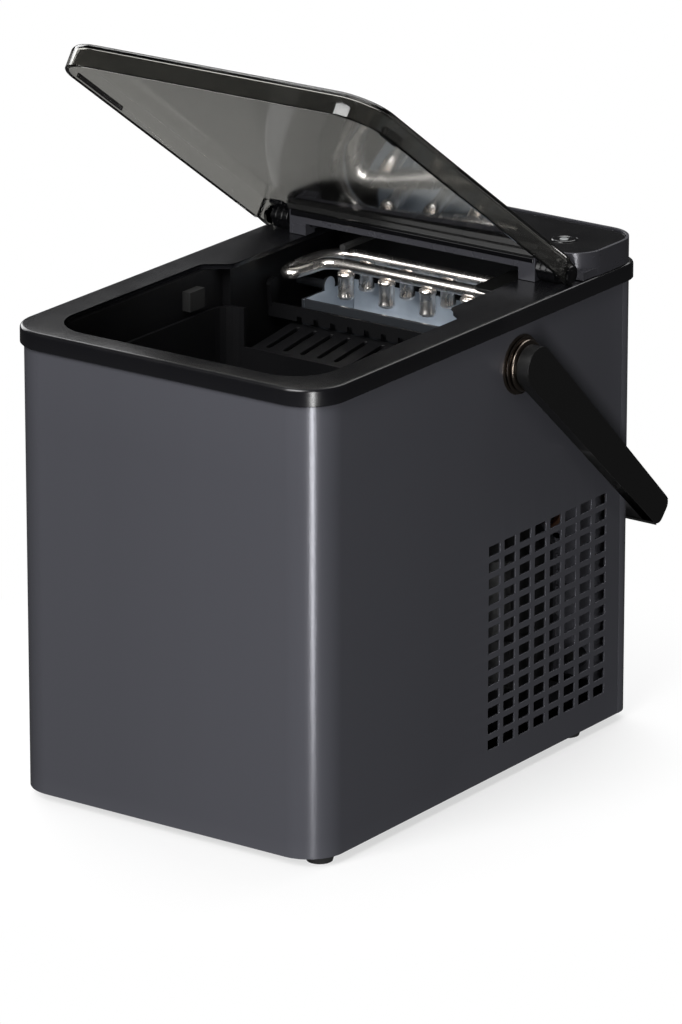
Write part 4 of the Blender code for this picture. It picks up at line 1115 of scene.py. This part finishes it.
def tray():
    """The trough the ice freezes in: a bent floor and two end plates with the lugs it tips on."""
    low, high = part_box("water_tray")
    half, rim, wall = TRAY_HALF, TRAY_RIM, TRAY_WALL
    front, rear, floor, bend = low.y, high.y, low.z, 0.007
    hinge = Vector(JOINTS["tray_tilt"]["pos_m"])
    lug = 0.0055

    def section(inset):
        left = arc((front + bend, floor + bend), bend - inset, 180, 270, 10)
        right = arc((rear - bend, floor + bend), bend - inset, 270, 360, 10)
        return [(front + inset, rim)] + left + right + [(rear - inset, rim)]

    dip = degrees(atan2(hinge.z - rim, lug))
    ends = section(0) + arc((hinge.y, hinge.z), lug, -dip, 180 + dip, 24)
    shapes = [prism(section(0) + section(wall)[::-1], -half + wall, half - wall, "X")]
    for start in (-half, half - wall):
        shapes.append(prism(ends, start, start + wall, "X"))
    for start in (half - 0.001, -half - 0.024):
        pivot = along("X", (start, hinge.y, hinge.z))
        shapes.append(rod(0.003, 0, 0.025, pivot, 28))
    mesh = mesh_from(many(shapes))
    piece("ice_tray", mesh, M["tray_plastic"], "tray", ["water_tray"], 0.0004)
    # The faces inside the trough take the bright second material, which is painted light and painted glints.
    mesh.materials.append(M["tray_inside_painted_light"])
    centre = Vector((0, (front + rear) / 2, rim))
    for polygon in mesh.polygons:
        middle = polygon.center
        inside = abs(middle.x) < half - wall + 1e-4 and front + wall - 1e-4 < middle.y < rear - wall + 1e-4
        faces_in = polygon.normal.dot(centre - middle) > 0 and middle.z > floor + wall - 2e-4
        if inside and faces_in:
            polygon.material_index = 1


def ramp():
    low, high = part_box("ice_guide")
    rear, front = high.y, low.y
    outline = [
        (rear, 0.2355),
        (front, 0.2300),
        (front, 0.2278),
        (rear - 0.0025, 0.2331),
        (rear - 0.0025, low.z),
        (rear, low.z),
    ]
    shape = prism(outline, low.x, high.x, "X")
    slots = []
    for i in range(11):
        x = -0.060 + 0.012 * i
        slots.append(
            prism(rounded((x - 0.0017, front + 0.006), (x + 0.0017, rear - 0.005), 0.00165, 6), 0.2, 0.26)
        )
    shape = cut(shape, many(slots))
    piece(
        "slotted_ramp",
        mesh_from(shape),
        M["basket_plastic"],
        "cabinet",
        ["ice_guide"],
        0.0003,
        2,
    )


# Pieces that keep their CAD mesh


KEPT = {
    "base_pan": ("black_plastic", 0.0006),
    "foot_front_left": ("rubber", 0.0008),
    "foot_front_right": ("rubber", 0.0008),
    "foot_rear_left": ("rubber", 0.0008),
    "foot_rear_right": ("rubber", 0.0008),
    "board_tray": ("black_plastic", 0.0003),
    "control_board": ("circuit_board", 0.0002),
    "inner_tank": ("tank_plastic", 0.0006),
    "tank_insulation": ("foam", 0.001),
    "ice_basket": ("basket_plastic", 0.0005),
    "ice_shovel": ("basket_plastic", 0.0003),
    "tray_gear": ("white_plastic", 0.0),
    "shovel_gear": ("white_plastic", 0.0),
    "tray_motor": ("motor_steel", 0.0005),
    "ice_sensor_left": ("black_plastic", 0.0008),
    "ice_sensor_right": ("black_plastic", 0.0008),
    "water_pump": ("black_plastic", 0.0006),
    "pump_hose": ("rubber", 0.0),
    "drain_hose": ("silicone", 0.0),
    "drain_spout": ("black_plastic", 0.0003),
    "drain_plug": ("rubber", 0.0004),
    "compressor": ("black_steel", 0.0008),
    "condenser": ("aluminium", 0.0003),
    "fan_shroud": ("black_plastic", 0.0006),
    "fan_motor": ("motor_steel", 0.0008),
    "fan_blades": ("black_plastic", 0.0004),
    "discharge_pipe": ("copper", 0.0),
    "suction_pipe": ("copper", 0.0),
    "filter_drier": ("copper", 0.0),
    "liquid_pipe": ("copper", 0.0),
    "capillary_tube": ("copper", 0.0),
    "power_board": ("circuit_board", 0.0003),
    "cord_inlet": ("black_plastic", 0.0003),
}


def kept_nodes():
    for node, (finish_name, bevel) in KEPT.items():
        obj = frame["nodes"][node]
        obj.data.materials.clear()
        obj.data.materials.append(M[finish_name])
        for polygon in obj.data.polygons:
            polygon.use_smooth = True
        obj.data.set_sharp_from_angle(angle=radians(35))
        if bevel:
            round_edges(obj, bevel, 2, 38)


# Fasteners


def screw_head(name, place, body, radius=0.0032):
    """A pan head with a cross recess."""
    height = 0.0016
    dome = [
        (radius * sin(radians(a)), height * cos(radians(a)) * 0.9 + 0.0002) for a in (0, 20, 40, 60, 78)
    ]
    head = turned(dome + [(radius, 0.0002), (radius, -0.0004), (0, -0.0004)], Matrix.Identity(4), 28)
    arm = radius * 0.62
    cross = boolean(
        block((-arm, -0.0004, height * 0.35), (arm, 0.0004, 0.01)),
        block((-0.0004, -arm, height * 0.35), (0.0004, arm, 0.01)),
        "UNION",
    )
    shape = cut(head, cross)
    shape.transform(place)
    piece(name, mesh_from(shape), M["screw_steel"], body)


def screws():
    rear = along("Y", (0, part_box("rear_panel")[1].y, 0))
    spots = [(x, z) for x in (-0.094, 0.094) for z in (0.016, 0.140, 0.264)] + [(0.0, 0.016), (0.0, 0.264)]
    for number, (x, z) in enumerate(spots):
        screw_head(f"rear_screw_{number + 1}", Matrix.Translation((x, 0, z)) @ rear, "cabinet")
    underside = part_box("base_pan")[0].z
    for number, (x, y) in enumerate([(x, y) for x in (-0.060, 0.060) for y in (-0.130, 0.130)]):
        place = Matrix.Translation((x, y, underside)) @ Matrix.Rotation(pi, 4, "X")
        screw_head(f"base_screw_{number + 1}", place, "cabinet")


# Stage, lights and camera


def stage_material():
    """White paint that takes the object's shadow and fades into a plain white backdrop away from it."""
    made = bpy.data.materials.new("floor_paint")
    made.use_nodes = True
    nodes, links = made.node_tree.nodes, made.node_tree.links
    shader = shader_of(made)
    shader.inputs["Base Color"].default_value = (0.86, 0.86, 0.86, 1)
    shader.inputs["Roughness"].default_value = 1.0
    shader.inputs["Specular IOR Level"].default_value = 0.0
    glow = nodes.new("ShaderNodeEmission")
    place = nodes.new("ShaderNodeTexCoord")
    reach = nodes.new("ShaderNodeVectorMath")
    reach.operation = "LENGTH"
    fade = nodes.new("ShaderNodeMapRange")
    fade.interpolation_type = "SMOOTHSTEP"
    fade.inputs["From Min"].default_value = 0.12
    fade.inputs["From Max"].default_value = 0.34
    fade.inputs["To Min"].default_value = 0.60
    mix = nodes.new("ShaderNodeMixShader")
    out = nodes["Material Output"]
    links.new(place.outputs["Object"], reach.inputs[0])
    links.new(reach.outputs["Value"], fade.inputs["Value"])
    links.new(fade.outputs["Result"], mix.inputs[0])
    links.new(shader.outputs[0], mix.inputs[1])
    links.new(glow.outputs[0], mix.inputs[2])
    links.new(mix.outputs[0], out.inputs["Surface"])
    return made


def floor():
    bm = bmesh.new()
    bmesh.ops.create_grid(bm, x_segments=1, y_segments=1, size=12)
    mesh = mesh_from(bm)
    obj = bpy.data.objects.new("floor", mesh)
    bpy.context.scene.collection.objects.link(obj)
    mesh.materials.append(stage_material())
    obj.visible_glossy = False
    obj.visible_diffuse = False
    obj.visible_shadow = False


def area_light(name, azimuth, elevation, distance, size, power, target=(0, 0, 0.15)):
    """An area light that faces the target. Azimuth 0 is in front, and it grows towards +X."""
    data = bpy.data.lights.new(name, "AREA")
    data.shape = "RECTANGLE"
    data.size, data.size_y = size
    data.energy = power
    obj = bpy.data.objects.new(name, data)
    bpy.context.scene.collection.objects.link(obj)
    a, e = radians(azimuth), radians(elevation)
    back = Vector((sin(a) * cos(e), -cos(a) * cos(e), sin(e)))
    obj.location = Vector(target) + back * distance
    obj.rotation_mode = "QUATERNION"
    obj.rotation_quaternion = (-back).to_track_quat("-Z", "Y")
    return obj


def lights():
    area_light("key_softbox", 0, 40, 3.0, (1.8, 1.6), 98)
    area_light("low_fill", -10, 14, 3.0, (1.0, 0.5), 5)
    area_light("top_softbox", 0, 88, 2.6, (3.0, 3.0), 12)
    area_light("corner_strip", 45, -2, 1.5, (0.16, 0.9), 13.5)
    area_light("rear_softbox", 198, 54, 3.0, (3.2, 2.4), 78)
    area_light("left_softbox", -112, 22, 3.0, (1.6, 1.4), 34)
    chamber = area_light("chamber_glow", 0, 42, 0.15, (0.20, 0.08), 0.19, target=(0, 0.08, 0.25))
    chamber.visible_camera = False
    chamber.visible_transmission = False


def world():
    made = bpy.data.worlds.new("studio")
    bpy.context.scene.world = made
    made.use_nodes = True
    nodes, links = made.node_tree.nodes, made.node_tree.links
    nodes.clear()
    out = nodes.new("ShaderNodeOutputWorld")
    seen = nodes.new("ShaderNodeBackground")
    seen.inputs["Color"].default_value = (1, 1, 1, 1)
    seen.inputs["Strength"].default_value = 1.0
    lit = nodes.new("ShaderNodeBackground")
    lit.inputs["Color"].default_value = (1, 1, 1, 1)
    lit.inputs["Strength"].default_value = 0.04
    path = nodes.new("ShaderNodeLightPath")
    mix = nodes.new("ShaderNodeMixShader")
    links.new(path.outputs["Is Camera Ray"], mix.inputs[0])
    links.new(lit.outputs[0], mix.inputs[1])
    links.new(seen.outputs[0], mix.inputs[2])
    links.new(mix.outputs[0], out.inputs["Surface"])


def camera():
    data = bpy.data.cameras.new("camera")
    data.lens = CAMERA_LENS
    data.clip_end = 50
    obj = bpy.data.objects.new("camera", data)
    bpy.context.scene.collection.objects.link(obj)
    a, e = CAMERA_AZIMUTH, CAMERA_ELEVATION
    back = Vector((sin(a) * cos(e), -cos(a) * cos(e), sin(e)))
    obj.location = CAMERA_TARGET + back * CAMERA_DISTANCE
    obj.rotation_mode = "QUATERNION"
    obj.rotation_quaternion = (-back).to_track_quat("-Z", "Y")
    bpy.context.scene.camera = obj


bpy.context.scene.view_settings.view_transform = "Standard"
camera()
floor()
world()
lights()

wrap_shell()
rear_shell()
louvre_hoods()
front_rim()
rear_rim()
lid_shell()
lid_fittings()
knuckles()
carry_handle()
bosses()
control_housing()
front_strip()
control_top()
buttons()
evaporator()
tube_cover()
tray()
ramp()
kept_nodes()
screws()
